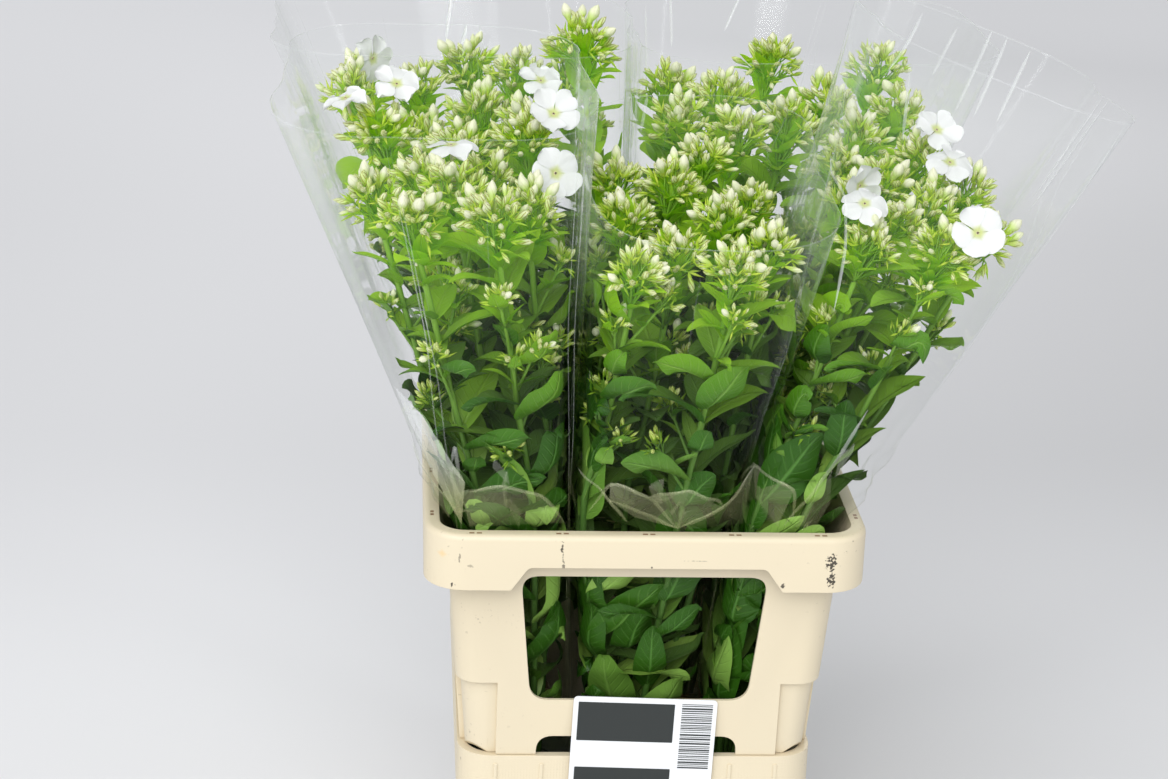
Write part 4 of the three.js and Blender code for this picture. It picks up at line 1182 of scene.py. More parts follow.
def side_shoots(bunch):
    """Side shoots of a bunch: those of the frame first, then slighter ones up each stem."""
    draws = np.random.default_rng(bunch.seed + SEED_STEPS["shoots"])
    stems = stems_of(bunch)
    starts = framed_shoots(bunch, stems)
    for stem in stems:
        highest = stem.head[2] - FINE_SHOOT["below_head"]
        for z in np.arange(FINE_SHOOT["lowest"], highest, FINE_SHOOT["step"]):
            if draws.uniform() < FINE_SHOOT["share"]:
                starts.append((stem, z + draws.uniform(-0.012, 0.012), draws.uniform(0, 2 * math.pi)))
    shoots = []
    for stem, z, azimuth in starts:
        root = point_on(stem, z)
        outward = np.array([math.cos(azimuth), math.sin(azimuth), 0.0])
        middle = root + outward * SIDE_SHOOT["out"] + UP * SIDE_SHOOT["up"] * draws.uniform(0.9, 1.3)
        middle = pushed_inside(bunch, middle[None], 0.010 + CLEARANCE)[0]
        shoots.append(Shoot(root, middle, azimuth))
    return shoots


def side_head(shoot, draws):
    """The small head at the end of a side shoot, the greener the lower it stands."""
    lean = unit(shoot.middle - shoot.root)
    base = shoot.middle - lean * SIDE_HEAD_RADIUS * 0.7
    ripeness = np.clip((shoot.middle[2] - 0.44) / 0.14, 0.15, 0.85)
    return Head(base, shoot.middle, lean, SIDE_HEAD_RADIUS, draws.uniform(0.12, 0.28), ripeness)


# ------------------------------------------------------------------ blooms

PETALS = 5
PETAL_ALONG = np.array([0.0, 0.10, 0.22, 0.36, 0.52, 0.66, 0.78, 0.88, 0.95, 1.0])[:, None]
PETAL_ACROSS = np.linspace(-1, 1, 9)[None, :]
PETAL_WIDEST = 0.68
TUBE = [(0.0008, -0.0150), (0.0012, -0.0130), (0.0011, -0.0040), (0.0017, -0.0006), (0.0007, 0.0008)]
BLOOM_CALYX = {"size": (0.0016, 0.0016, 0.0105), "back": 0.0180}


def placed_blooms(settings):
    """Middle and facing of each open bloom, looking up and out of the nearest head of its bunch."""
    places = []
    for name, at in BLOOMS:
        bunch = next(b for b in BUNCHES if b.name == name)
        wanted = np.array(at)
        head = min((stem.head for stem in stems_of(bunch)), key=lambda h: np.linalg.norm(h - wanted))
        spot = head + unit(wanted - head) * (bunch.head_radius + BLOOM_STANDS_OUT + 0.003)
        middle = pushed_inside(bunch, spot[None], settings.radius * 0.8 + CLEARANCE)[0]
        places.append((middle, unit(unit(middle - head) + BLOOM_LOOK)))
    return places


def petal_patch(settings, spin, closed, draws):
    """One broad petal, narrow at the throat and round at its end, in the bloom's own frame. closed
    is how far the bloom is drawn together."""
    s, u = PETAL_ALONG, PETAL_ACROSS
    rise = np.clip(s / PETAL_WIDEST, 0, 1)
    half = 0.08 + 0.41 * rise ** 2 * (3 - 2 * rise)
    end = np.clip((s - PETAL_WIDEST) / 0.335, 0, 1)
    half = np.where(s > PETAL_WIDEST, 0.49 * np.sqrt(1 - end ** 2), half)
    reach = draws.uniform(0.92, 1.04)
    out = reach * (0.05 + 0.95 * s) - 0.04 * u ** 2 * s
    cup = draws.uniform(-0.04, 0.32)
    fall = draws.uniform(-0.04, 0.32)
    ripple = 0.025 * np.sin(7 * u + 5 * s + draws.uniform(0, ANY_TURN)) * s
    lift = 0.05 * np.sin(math.pi * s) + cup * u ** 2 * s + (closed - fall) * s ** 2 + 0.07 * u * s + ripple
    flat = np.stack([out + 0 * u, half * u, lift + 0.02], axis=-1).reshape(-1, 3) * settings.radius
    uv = np.stack([(u + 1) / 2 + 0 * s, s + 0 * u], axis=-1).reshape(-1, 2)
    return flat @ np.array(Matrix.Rotation(spin, 3, "Z")).T, grid_faces(s.size, u.size), uv


def add_bloom(surface, middle, facing, settings, draws):
    """Five broad overlapping petals round a small eye, on a slim tube in a calyx, with slots
    0 petal, 1 tube and 2 calyx."""
    facing = unit(facing + draws.normal(0, 0.38, 3))
    turn = frames_facing(facing[None], draws.uniform(0, ANY_TURN, 1))[0] * draws.uniform(0.84, 1.06)
    closed = draws.uniform(-0.15, 0.45)
    for petal in range(PETALS):
        spin = (petal + draws.uniform(-0.06, 0.06)) * 2 * math.pi / PETALS
        points, faces, uv = petal_patch(settings, spin, closed, draws)
        surface.add(points @ turn.T + middle, faces, uv, draws.uniform())
    points, faces, uv = lathe(TUBE, 10)
    surface.add(points @ turn.T + middle, faces, uv, 0.5, 1)
    points, faces, uv = calyx_template()
    foot = middle - facing * BLOOM_CALYX["back"]
    surface.add((points * BLOOM_CALYX["size"]) @ turn.T + foot, faces, uv, 0.5, 2)


# ------------------------------------------------------------------ sleeves

RING_CORNER = 8
RING_STRAIGHT = 26
SLEEVE_LEVELS = (14, 64)
WAIST_SHARE = 0.292

# Welds of each sleeve. Every point is its place round the sleeve, from 0 to 1 counter-clockwise
# from the right-hand side, and its height up the film, from 0 at the foot to 1 at the edge.
WELDS = {
    "left": (((0.520, 0.10), (0.537, 0.337), (0.559, 0.621), (0.570, 0.801), (0.577, 0.986)),
             ((0.790, 0.10), (0.789, 0.331), (0.781, 0.677), (0.785, 0.921), (0.786, 1.0))),
    "middle": (((0.42, 0.05), (0.41, 1.0)), ((0.86, 0.05), (0.85, 1.0))),
    "right": (((0.455, 0.10), (0.467, 0.326), (0.507, 0.565), (0.487, 0.801), (0.445, 0.896),
               (0.371, 1.0)),
              ((0.800, 0.55), (0.785, 0.739), (0.765, 0.890), (0.763, 0.990))),
    "rear_left": (((0.30, 0.05), (0.29, 1.0)), ((0.80, 0.05), (0.80, 1.0))),
    "rear_right": (((0.12, 0.05), (0.11, 1.0)), ((0.44, 0.05), (0.46, 1.0))),
}

# Sharp bright folds in the film, by points as above; the strong milky haze of the weld finish paints their
# highlights.
FOLDS = {
    "left": (((0.555, 0.419), (0.559, 0.483), (0.553, 0.452)),
             ((0.541, 0.330), (0.551, 0.447), (0.559, 0.416)),
             ((0.507, 0.472), (0.518, 0.404), (0.530, 0.350)),
             ((0.535, 0.520), (0.545, 0.440), (0.552, 0.360)), ((0.101, 1.0), (0.114, 0.95)),
             ((0.560, 0.395), (0.653, 0.413), (0.754, 0.396), (0.774, 0.337))),
    "middle": (((0.530, 0.37), (0.546, 0.449), (0.618, 0.421), (0.691, 0.346)),
               ((0.618, 0.421), (0.654, 0.424), (0.699, 0.435), (0.754, 0.419), (0.763, 0.393)),
               ((0.691, 0.346), (0.763, 0.393), (0.795, 0.470)),
               ((0.550, 0.410), (0.618, 0.379), (0.691, 0.346)),
               ((0.513, 0.461), (0.535, 0.424), (0.588, 0.357)), ((0.257, 1.0), (0.257, 0.93))),
    "right": (((0.460, 0.812), (0.518, 0.792), (0.529, 0.725), (0.535, 0.643)),
              ((0.215, 0.913), (0.145, 0.812)), ((0.057, 1.0), (0.055, 0.874)),
              ((0.050, 1.0), (0.046, 0.876)),
              ((0.039, 0.994), (0.037, 0.933), (0.035, 0.882)), ((0.246, 0.989), (0.254, 0.896)),
              ((0.136, 0.986), (0.143, 0.910)), ((0.796, 0.764), (0.783, 0.989)),
              ((0.895, 1.0), (0.898, 0.81)), ((0.912, 0.995), (0.908, 0.83)),
              ((0.467, 0.326), (0.500, 0.400), (0.560, 0.390), (0.620, 0.340)),
              ((0.590, 0.330), (0.640, 0.380), (0.676, 0.447), (0.690, 0.520))),
    "rear_left": (((0.143, 0.93), (0.154, 0.893)), ((0.129, 0.93), (0.129, 0.896)),
                  ((0.15, 1.0), (0.17, 0.90))),
    "rear_right": (((0.276, 0.98), (0.272, 0.84)), ((0.262, 1.0), (0.258, 0.90)),
                   ((0.20, 1.0), (0.21, 0.93))),
}

# Crumpled flaps of film just above the rim, by their corners, each with its milkiness, which partly paints
# their highlights.
FLAPS = {
    "left": ((3.0, ((0.520, 0.570), (0.540, 0.530), (0.553, 0.452), (0.559, 0.416), (0.541, 0.330),
                    (0.525, 0.420))),
             (0.5, ((0.553, 0.396), (0.653, 0.413), (0.754, 0.396), (0.774, 0.337), (0.551, 0.330)))),
    "middle": ((0.8, ((0.546, 0.449), (0.618, 0.421), (0.691, 0.346), (0.600, 0.372), (0.550, 0.410))),
               (0.9, ((0.618, 0.421), (0.699, 0.435), (0.763, 0.393), (0.691, 0.346))),
               (0.5, ((0.763, 0.393), (0.795, 0.470), (0.800, 0.330), (0.691, 0.340)))),
    "right": ((0.6, ((0.467, 0.326), (0.500, 0.400), (0.560, 0.390), (0.560, 0.330))),
              (0.3, ((0.640, 0.330), (0.676, 0.420), (0.740, 0.370), (0.740, 0.330)))),
    "rear_left": (),
    "rear_right": (),
}
CREASES_PER_SLEEVE = 8
FLAPS_PER_SLEEVE = 12
FLAP_CORNERS = 5
FLAP_BAND = (0.33, 0.44)
FLAP_REACH = (0.032, 0.045)
WELD_HALF = 0.0030
RIDGE_WIDTH = {"weld": 0.8, "fold": 2.2, "crease": 0.8, "flap": 0.7}     # against the setting
CRUMPLED = {"z": 0.428, "reach": 0.030, "depth": 22.0, "inside_rim": 0.003}
# The cut edge's milkiness partly paints a highlight along the film's top edge.
CUT_EDGE = {"tall": 0.0009, "stands_out": 0.0004, "milky": 2.0}
FILM_SLOT, WELD_AND_HIGHLIGHT_SLOT, FOLD_SLOT, FLAP_SLOT = range(4)


def ring_of(plan):
    """Points and outward directions round one section, always in the same order."""
    corners, outs = round_rectangle(plan[:2], *plan[2:], RING_CORNER)
    points, facing = [], []
    for i in range(4):
        t = np.linspace(0, 1, RING_STRAIGHT + 1)[1:-1, None]
        points += [corners[i], lerp(corners[i][-1], corners[(i + 1) % 4][0], t)]
        facing += [outs[i], np.repeat(outs[i][-1:], RING_STRAIGHT - 1, axis=0)]
    return np.vstack(points), np.vstack(facing)


def sleeve_levels(bunch):
    """The smooth sleeve as a grid: points and outward directions, level by level from the foot."""
    top = plan_of(bunch.top, TOP_RADIUS)
    plans = (foot_plan(bunch), plan_of(bunch.waist, WAIST_RADIUS), top)
    rings, outs = zip(*(ring_of(plan) for plan in plans))
    level = np.ones(len(rings[0]))
    heights = (SLEEVE_FOOT_Z * level, WAIST_Z * level,
               bunch.top_z + (rings[2] - top[:2]) @ np.array(bunch.slope))
    points, directions = [], []
    for low, count in enumerate(SLEEVE_LEVELS):
        for t in np.linspace(0, 1, count, endpoint=low > 0):
            z = lerp(heights[low], heights[low + 1], t)
            points.append(np.column_stack([lerp(rings[low], rings[low + 1], t), z]))
            directions.append(np.column_stack([lerp(outs[low], outs[low + 1], t), 0 * z]))
    return np.stack(points), np.stack(directions)


def zigzag(x):
    """A wave of straight slopes from -1 to 1, once for each whole number."""
    return 4 * np.abs(x - np.floor(x + 0.5)) - 1


def film_folds(points, settings, draws):
    """How far the film stands out of its smooth shape: long folds, and crumples above the rim."""
    levels, count = points.shape[:2]
    round_way = np.linspace(0, 1, count, endpoint=False)[None, :]
    z = points[..., 2]
    rise = np.clip((z - WAIST_Z) / 0.30, 0, 1)
    folds = np.zeros((levels, count))
    for waves in (3, 5, 8, 13):
        drift = draws.uniform(-0.6, 0.6)
        start = draws.uniform(0, ANY_TURN)
        folds += np.sin(2 * np.pi * (waves * round_way + drift * z / 0.3) + start) / waves
    long_folds = settings.fold * 2.2 * folds * (0.25 + 0.75 * rise)
    crumple = np.zeros((levels, count))
    for size in (0.060, 0.041, 0.027):
        a, b, c = draws.normal(0, 1, 3)
        where = (points[..., 0] * a + points[..., 1] * b + z * c) / size
        crumple += zigzag(where + draws.uniform(0, 1)) * size
    above_rim = np.exp(-((z - CRUMPLED["z"]) / CRUMPLED["reach"]) ** 2)
    crumples = crumple * settings.fold * CRUMPLED["depth"] * above_rim
    crumples = np.where(z < RIM_Z + 0.004, np.minimum(crumples, CRUMPLED["inside_rim"]), crumples)
    return long_folds * np.clip((z - 0.36) / 0.10, 0.15, 1) + crumples


def on_film(grid, path):
    """Points of a grid at (place, height) pairs, between its columns and levels."""
    levels, count = grid.shape[:2]
    column = (path[:, 0] % 1.0) * count
    row = np.interp(path[:, 1], (0, WAIST_SHARE, 1), (0, SLEEVE_LEVELS[0], levels - 1))
    left, low = np.floor(column).astype(int) % count, np.minimum(row.astype(int), levels - 2)
    t, u = (column - np.floor(column))[:, None], (row - low)[:, None]
    right = (left + 1) % count
    return lerp(lerp(grid[low, left], grid[low, right], t),
                lerp(grid[low + 1, left], grid[low + 1, right], t), u)


def add_ridge(surface, film, path, width, slot, tone=0.0):
    """A narrow raised crease that follows (place, height) pairs on the film and thins at its ends."""
    folded, outs = film
    path = np.array(path)
    steps = np.linspace(0, len(path) - 1, 12 * (len(path) - 1) + 1)
    path = np.column_stack([np.interp(steps, np.arange(len(path)), path[:, axis]) for axis in (0, 1)])
    line, out = smoothed(on_film(folded, path)[None], 6)[0], unit(on_film(outs, path))
    side = unit(np.cross(out, np.gradient(line, axis=0)))
    t = np.linspace(0, 1, len(path))
    swell = np.minimum(1.0, 0.15 + 5 * np.minimum(t, 1 - t))[:, None]
    rows = [line + side * offset * width * swell + out * (height * width * swell + 0.0009)
            for offset, height in ((-0.5, 0.0), (-0.2, 0.3), (0.2, 0.3), (0.5, 0.0))]
    surface.add(np.stack(rows, axis=1).reshape(-1, 3), grid_faces(len(path), 4), None, tone, slot)


def add_flap(surface, film, corners, milky, draws, slot):
    """A crumpled flap of film: facets round a middle, each corner standing off a little."""
    folded, outs = film
    path = np.array(corners)
    path = np.vstack([path, path.mean(axis=0)])
    off = draws.uniform(0.0004, 0.0022, len(path))[:, None]
    points = on_film(folded, path) + unit(on_film(outs, path)) * off
    n = len(corners)
    for i in range(n):
        facet = points[[i, (i + 1) % n, n]]
        # The milkiness is partly the real cloudiness of crumpled film and partly a painted highlight.
        surface.add(facet, np.array([[0, 1, 2]]), None, milky * draws.uniform(0.2, 1.6), slot)


def make_sleeve(bunch, settings, materials):
    """One open cone of film with its welds, folds, crumpled flaps and cut edge."""
    draws = np.random.default_rng(bunch.seed + SEED_STEPS["sleeve"])
    points, outs = sleeve_levels(bunch)
    folded = points + outs * film_folds(points, settings, draws)[..., None]
    film = (folded, outs)
    levels, count = points.shape[:2]
    surface = Surface()
    surface.add(folded.reshape(-1, 3), grid_faces(levels, count, closed=True), slot=FILM_SLOT)
    width = {kind: settings.crease * times for kind, times in RIDGE_WIDTH.items()}
    for path in WELDS[bunch.name]:
        for shift in (-WELD_HALF, WELD_HALF):
            add_ridge(surface, film, np.array(path) + [shift, 0], width["weld"], WELD_AND_HIGHLIGHT_SLOT)
    # The folds take the weld finish, whose milky haze paints the highlights along them.
    for path in FOLDS[bunch.name]:
        add_ridge(surface, film, path, width["fold"], WELD_AND_HIGHLIGHT_SLOT, 0.8)
    for _ in range(CREASES_PER_SLEEVE):
        place, end = draws.uniform(), draws.uniform(0.88, 1.0)
        start = end - draws.uniform(0.06, 0.22)
        drift = draws.normal(0, 0.010)
        ends = ((place - drift, start), (place + drift, end))
        add_ridge(surface, film, ends, width["crease"], FOLD_SLOT)
    for milky, corners in FLAPS[bunch.name]:
        add_flap(surface, film, corners, milky, draws, FLAP_SLOT)
    for _ in range(FLAPS_PER_SLEEVE):
        middle = np.array([draws.uniform(), draws.uniform(*FLAP_BAND)])
        turns = np.sort(draws.uniform(0, 2 * math.pi, FLAP_CORNERS))
        reach = draws.uniform(0.5, 1.0, (FLAP_CORNERS, 1)) * FLAP_REACH
        corners = middle + np.column_stack([np.cos(turns), np.sin(turns)]) * reach
        add_flap(surface, film, corners, draws.uniform(0.1, 0.8), draws, FLAP_SLOT)
        add_ridge(surface, film, corners[:3], width["flap"], FOLD_SLOT, 1.0)
    # The cut edge is a milky strip, partly a painted highlight along the film's top edge.
    edge, out = folded[-1], outs[-1]
    rows = [edge - UP * CUT_EDGE["tall"] + out * 0.0003, edge + out * CUT_EDGE["stands_out"]]
    surface.add(np.concatenate(rows), grid_faces(2, count, closed=True), None, CUT_EDGE["milky"], FOLD_SLOT)
    return surface.make(f"film_sleeve_{bunch.name}", materials)


# ------------------------------------------------------------------ container

WALL = 0.003
RIM_Z = 0.405
SEAT_Z = 0.229
RIM = (0.150, 0.200, 0.028)
MOUTH = (0.140, 0.190, 0.018)
SKIRT_DEPTH = 0.0396
RIM_EDGE = 0.0042
NOTCH = {"z": 0.382, "half_top": 0.080, "half_bottom": 0.091, "below": 0.010, "flare": 0.008, "round": 0.003}
WINDOW = {"top": 0.3692, "bottom": 0.2728, "half_top": 0.0841, "half_bottom": 0.0752, "radius": 0.013}
ARCH = {"top": 0.244, "half": 0.070, "radius": 0.012}
CORNER_RECESS = {"top": 0.286, "inside_x": 0.098, "inside_y": 0.148, "depth": 0.0035}
CORNER_CUT = {"reach": 0.272, "slope": 0.77, "size": (0.120, 0.140, 0.060)}
CORNER_BOX = (0.080, 0.080, 0.100)

# Sections of the container: height, half width, half depth and corner radius.
COLLAR_WALL = (
    (SEAT_Z + 0.0003, 0.1225, 0.1725, 0.016),
    (RIM_Z - SKIRT_DEPTH, 0.133, 0.183, 0.018),
    (RIM_Z - WALL, 0.143, 0.193, 0.020),
    (RIM_Z - 0.001, 0.143, 0.193, 0.020),
)
BUCKET_OUTSIDE = (
    (0.0, 0.104, 0.154, 0.020),
    (0.190, 0.1185, 0.1685, 0.022),
    (0.191, 0.1244, 0.1744, 0.024),
    (SEAT_Z, 0.1244, 0.1744, 0.024),
)
BUCKET_INSIDE = (
    (0.004, 0.1005, 0.1505, 0.017),
    (0.190, 0.1153, 0.1653, 0.019),
    (SEAT_Z + 0.001, 0.1184, 0.1684, 0.020),
)
RIB_PLACES = (-0.098, -0.066, 0.066, 0.098)
RIB = {"half": 0.0012, "proud": 0.0009, "sunk": 0.002, "low": 0.193, "high": 0.223}
ARC_STEPS = 7
OVERLAP = 0.001       # how far a cutter reaches past the face it opens


def solid(name, points, faces):
    """A closed solid with its faces turned outwards."""
    mesh = bpy.data.meshes.new(name)
    mesh.from_pydata([tuple(point) for point in points], [], [tuple(face) for face in faces])
    shape = bmesh.new()
    shape.from_mesh(mesh)
    bmesh.ops.recalc_face_normals(shape, faces=shape.faces)
    shape.to_mesh(mesh)
    shape.free()
    return linked(name, mesh)


def ends_of(rows, count):
    """The first and the last ring of a loft, as faces."""
    return [list(range(count))[::-1], list(range((rows - 1) * count, rows * count))]


def section_loft(sections, inset=0.0):
    """A solid through horizontal sections, set in from each of them."""
    rings = []
    for z, half_x, half_y, radius in sections:
        corners, _ = round_rectangle((0, 0), half_x - inset, half_y - inset, radius, ARC_STEPS)
        ring = corners.reshape(-1, 2)
        rings.append(np.column_stack([ring, np.full(len(ring), z)]))
    count = len(rings[0])
    faces = grid_faces(len(rings), count, closed=True).tolist() + ends_of(len(rings), count)
    return solid("loft", np.vstack(rings), faces)


def trapezoid(half_bottom, bottom, half_top, top):
    """Four corners in X and Z, even about the middle."""
    return [(-half_bottom, bottom), (half_bottom, bottom), (half_top, top), (-half_top, top)]


def pushed_outline(corners, radius, y0, y1):
    """A solid with a round-cornered outline in X and Z, pushed through along Y."""
    outline = []
    for i, corner in enumerate(corners):
        point = np.array(corner)
        start = point + unit(np.array(corners[i - 1]) - point) * radius
        end = point + unit(np.array(corners[(i + 1) % len(corners)]) - point) * radius
        for t in np.linspace(0, 1, ARC_STEPS + 1):
            outline.append((1 - t) ** 2 * start + 2 * t * (1 - t) * point + t ** 2 * end)
    count = len(outline)
    points = [(x, y, z) for y in (y0, y1) for x, z in outline]
    return solid("outline", points, grid_faces(2, count, closed=True).tolist() + ends_of(2, count))


def boxes(places, size, turn=None):
    """Equal boxes round their middles, each turned by its own matrix, as one piece."""
    corners = np.array([(-x / 2, -y / 2, z) for z in (-0.5, 0.5) for x, y in QUARTERS])
    cell = [[3, 2, 1, 0], [4, 5, 6, 7], [0, 1, 5, 4], [1, 2, 6, 5], [2, 3, 7, 6], [3, 0, 4, 7]]
    points, faces = [], []
    for i, place in enumerate(places):
        spun = corners * size @ (np.eye(3) if turn is None else turn[i]).T
        points.append(spun + place)
        faces += [[k + 8 * i for k in face] for face in cell]
    return solid("boxes", np.vstack(points), faces)


def carve(piece, cutters, operation="DIFFERENCE"):
    """Takes the cutters out of a piece, or joins them to it, and removes them."""
    for cutter in cutters:
        step = piece.modifiers.new("carve", "BOOLEAN")
        step.object = cutter
        step.operation = operation
        step.solver = "EXACT"
    bpy.context.view_layer.update()
    made = piece.evaluated_get(bpy.context.evaluated_depsgraph_get())
    mesh = bpy.data.meshes.new_from_object(made)
    piece.modifiers.clear()
    piece.data = mesh
    for cutter in cutters:
        bpy.data.objects.remove(cutter)
    return piece


def corner_boxes(inside_x, inside_y, top):
    """The four lower corners of the collar, where its wall stands back."""
    wide, deep, tall = CORNER_BOX
    places = [(sx * (inside_x + wide / 2), sy * (inside_y + deep / 2), top - tall / 2)
              for sx, sy in QUARTERS]
    return boxes(places, CORNER_BOX)


def corner_cuts():
    """Sloping blocks that lift the collar's lower edge towards its corners."""
    tilt = math.atan(CORNER_CUT["slope"] * math.sqrt(2))
    size = np.array(CORNER_CUT["size"])
    turns, places = [], []
    for sx, sy in QUARTERS:
        turn = Matrix.Rotation(math.atan2(sy, sx), 3, "Z") @ Matrix.Rotation(-tilt, 3, "Y")
        turns.append(np.array(turn))
        reach = CORNER_CUT["reach"] / 2
        places.append(np.array(turn) @ (size * [0.5, 0, -0.5]) + [sx * reach, sy * reach, SEAT_Z])
    return boxes(places, size, turns)


def rim_sections(low):
    """The turned-down rim from its lower edge to its top, rounded over at the outer edge."""
    half_x, half_y, radius = RIM
    lips = [(low, half_x, half_y, radius)]
    for angle in np.linspace(0, math.pi / 2, 6):
        inset = RIM_EDGE * (1 - math.cos(angle))
        z = RIM_Z - RIM_EDGE * (1 - math.sin(angle))
        lips.append((z, half_x - inset, half_y - inset, radius - inset))
    return lips


def make_collar():
    """The collar: wall with set-back corners, turned-down rim, two windows, two arches."""
    inset = [(z, x - WALL, y - WALL, r - WALL) for z, x, y, r in COLLAR_WALL]
    inside = [(SEAT_Z - OVERLAP, *inset[0][1:]), inset[1], (RIM_Z + OVERLAP, *MOUTH)]
    top, depth = CORNER_RECESS["top"], CORNER_RECESS["depth"]
    inside_x, inside_y = CORNER_RECESS["inside_x"], CORNER_RECESS["inside_y"]
    set_back = carve(corner_boxes(inside_x, inside_y, top), [section_loft(COLLAR_WALL, depth)])
    wall = carve(section_loft(COLLAR_WALL), [set_back])
    behind = carve(corner_boxes(inside_x - WALL, inside_y - WALL, top + WALL), [section_loft(inside, depth)])
    hollow = carve(section_loft(inside), [behind])

    low = RIM_Z - SKIRT_DEPTH
    half_x, half_y, radius = RIM
    under = (half_x - WALL, half_y - WALL, radius - WALL)
    n, w = NOTCH, WINDOW
    foot = n["half_bottom"] + n["flare"]
    notch = [(-foot, low - n["below"]), (foot, low - n["below"]),
             (n["half_bottom"], low + OVERLAP), (n["half_top"], n["z"]),
             (-n["half_top"], n["z"]), (-n["half_bottom"], low + OVERLAP)]
    skirt = (half_y - WALL - OVERLAP, half_y + OVERLAP)
    rim = carve(section_loft(rim_sections(low)),
                [section_loft([(low - OVERLAP, *under), (RIM_Z - WALL, *under)]),
                 pushed_outline(notch, n["round"], *skirt),
                 pushed_outline(notch, n["round"], -skirt[1], -skirt[0])])
    collar = carve(wall, [rim], "UNION")

    window = trapezoid(w["half_bottom"], w["bottom"], w["half_top"], w["top"])
    arch = trapezoid(ARCH["half"], 2 * SEAT_Z - ARCH["top"], ARCH["half"], ARCH["top"])
    reach = half_y + OVERLAP
    return carve(collar, [hollow, pushed_outline(window, w["radius"], -reach, reach),
                          pushed_outline(arch, ARCH["radius"], -reach, reach), corner_cuts()])


def make_bucket():
    """The bucket: tapered wall, floor, and a band under the collar with upright ribs."""
    high = BUCKET_OUTSIDE[-1][2]
    deep = RIB["proud"] + RIB["sunk"]
    middle_y = high + (RIB["proud"] - RIB["sunk"]) / 2
    middle_z = (RIB["low"] + RIB["high"]) / 2
    places = [(x, side * middle_y, middle_z) for x in RIB_PLACES for side in (-1, 1)]
    ribs = boxes(places, (2 * RIB["half"], deep, RIB["high"] - RIB["low"]))
    bucket = carve(section_loft(BUCKET_OUTSIDE), [ribs], "UNION")
    return carve(bucket, [section_loft(BUCKET_INSIDE)])


def round_off(piece, width):
    """Merges flat faces, then rounds every sharp edge a little, as moulded plastic is."""
    flats = piece.modifiers.new("flats", "DECIMATE")
    flats.decimate_type = "DISSOLVE"
    flats.angle_limit = math.radians(1.0)
    rounding = piece.modifiers.new("rounding", "BEVEL")
    rounding.width = width
    rounding.segments = 3
    rounding.limit_method = "ANGLE"
    rounding.angle_limit = math.radians(32)
    rounding.harden_normals = True
    piece.data.shade_smooth()


# ------------------------------------------------------------------ card

CARD = {"half": 0.050, "height": 0.096, "top_z": 0.275, "x": 0.005, "roll": math.radians(1.7),
        "corner": 0.003}
CARD_FRONT = 0.00012       # the paper's face, behind the front of the print
PRINT_DEPTH = 0.0003

# Printed areas in millimetres from the card's top middle: from and to across, from and to down.
PANELS = ((-46.5, 20.5, 4.0, 33.5), (-46.5, 20.5, 54.0, 65.0))
BARS = {"from": 25.5, "to": 47.0, "top": 3.5, "bottom": 52.0, "seed": 19}
PANEL_CORNER = 0.0006
BAR_CORNER = 0.0001


def add_plate(surface, box, corner, y_back, y_front, slot):
    """A thin plate with round corners on the card, box in metres from the card's top middle."""
    u0, u1, v0, v1 = box
    corners, _ = round_rectangle(((u0 + u1) / 2, -(v0 + v1) / 2), (u1 - u0) / 2, (v1 - v0) / 2, corner, 4)
    ring = corners.reshape(-1, 2)
    n = len(ring)
    flat = np.vstack([ring] * 4 + [[ring.mean(axis=0)]] * 2)
    depth = np.repeat([y_back, y_front, y_back, y_front, y_back, y_front], [n, n, n, n, 1, 1])
    cos, sin = math.cos(CARD["roll"]), math.sin(CARD["roll"])
    x = flat[:, 0] * cos + flat[:, 1] * sin + CARD["x"]
    z = flat[:, 1] * cos - flat[:, 0] * sin + CARD["top_z"]
    i = np.arange(n)
    j = (i + 1) % n
    corners = ((i, j, j + n), (i, j + n, i + n), (i + 3 * n, j + 3 * n, np.full(n, 4 * n + 1)),
               (j + 2 * n, i + 2 * n, np.full(n, 4 * n)))
    faces = np.concatenate([np.column_stack(three) for three in corners])
    surface.add(np.column_stack([x, depth, z]), faces, None, 0.0, slot)


def make_card(materials):
    """A coated card with two plain dark panels and a stack of plain bars, with slots 0 paper
    and 1 ink."""
    low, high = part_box("card")
    surface = Surface()
    half = CARD["half"]
    add_plate(surface, (-half, half, 0.0, CARD["height"]), CARD["corner"], high.y, low.y + CARD_FRONT, 0)
    printed = (low.y + PRINT_DEPTH, low.y)
    for panel in PANELS:
        add_plate(surface, [value / 1000 for value in panel], PANEL_CORNER, *printed, 1)
    draws = seeded_draws(BARS["seed"])
    top = BARS["top"]
    while top < BARS["bottom"]:
        thick = 0.45 + 0.9 * draws() ** 2
        bar = (BARS["from"], BARS["to"], top, top + thick)
        add_plate(surface, [value / 1000 for value in bar], BAR_CORNER, *printed, 1)
        top += thick + 0.5 + 0.7 * draws()
    return surface.make("printed_card", materials)


# ------------------------------------------------------------------ operators


def refinish(node, material):
    """Gives a node of the frame a new finish."""
    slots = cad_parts[node].data.materials
    slots.clear()
    slots.append(material)


class PHLOX_OT_container(bpy.types.Operator):
    """Mould the bucket and the collar, and finish the water and the ties"""

    bl_idname = "phlox.container"
    bl_label = "Container"

    def execute(self, context):
        settings = context.scene.phlox_container
        plastic = plastic_material(settings)
        for name, make in (("collar", make_collar), ("bucket", make_bucket)):
            piece = make()
            piece.name = f"moulded_{name}"
            piece.data.materials.clear()
            piece.data.materials.append(plastic)
            round_off(piece, settings.edge)
            dress(piece, "cream_plastic", name)
        refinish("water", water_material(settings))
        rubber = rubber_material(settings)
        for bunch in BUNCHES:
            refinish(f"tie_{bunch.name}", rubber)
        return {"FINISHED"}


class PHLOX_OT_card(bpy.types.Operator):
    """Print the card"""

    bl_idname = "phlox.card"
    bl_label = "Card"

    def execute(self, context):
        settings = context.scene.phlox_card
        paper = paper_material("card_paper", settings.paper, 0.32)
        ink = paper_material("card_ink", settings.ink, 0.38)
        dress(make_card([paper, ink]), "card", "card")
        return {"FINISHED"}


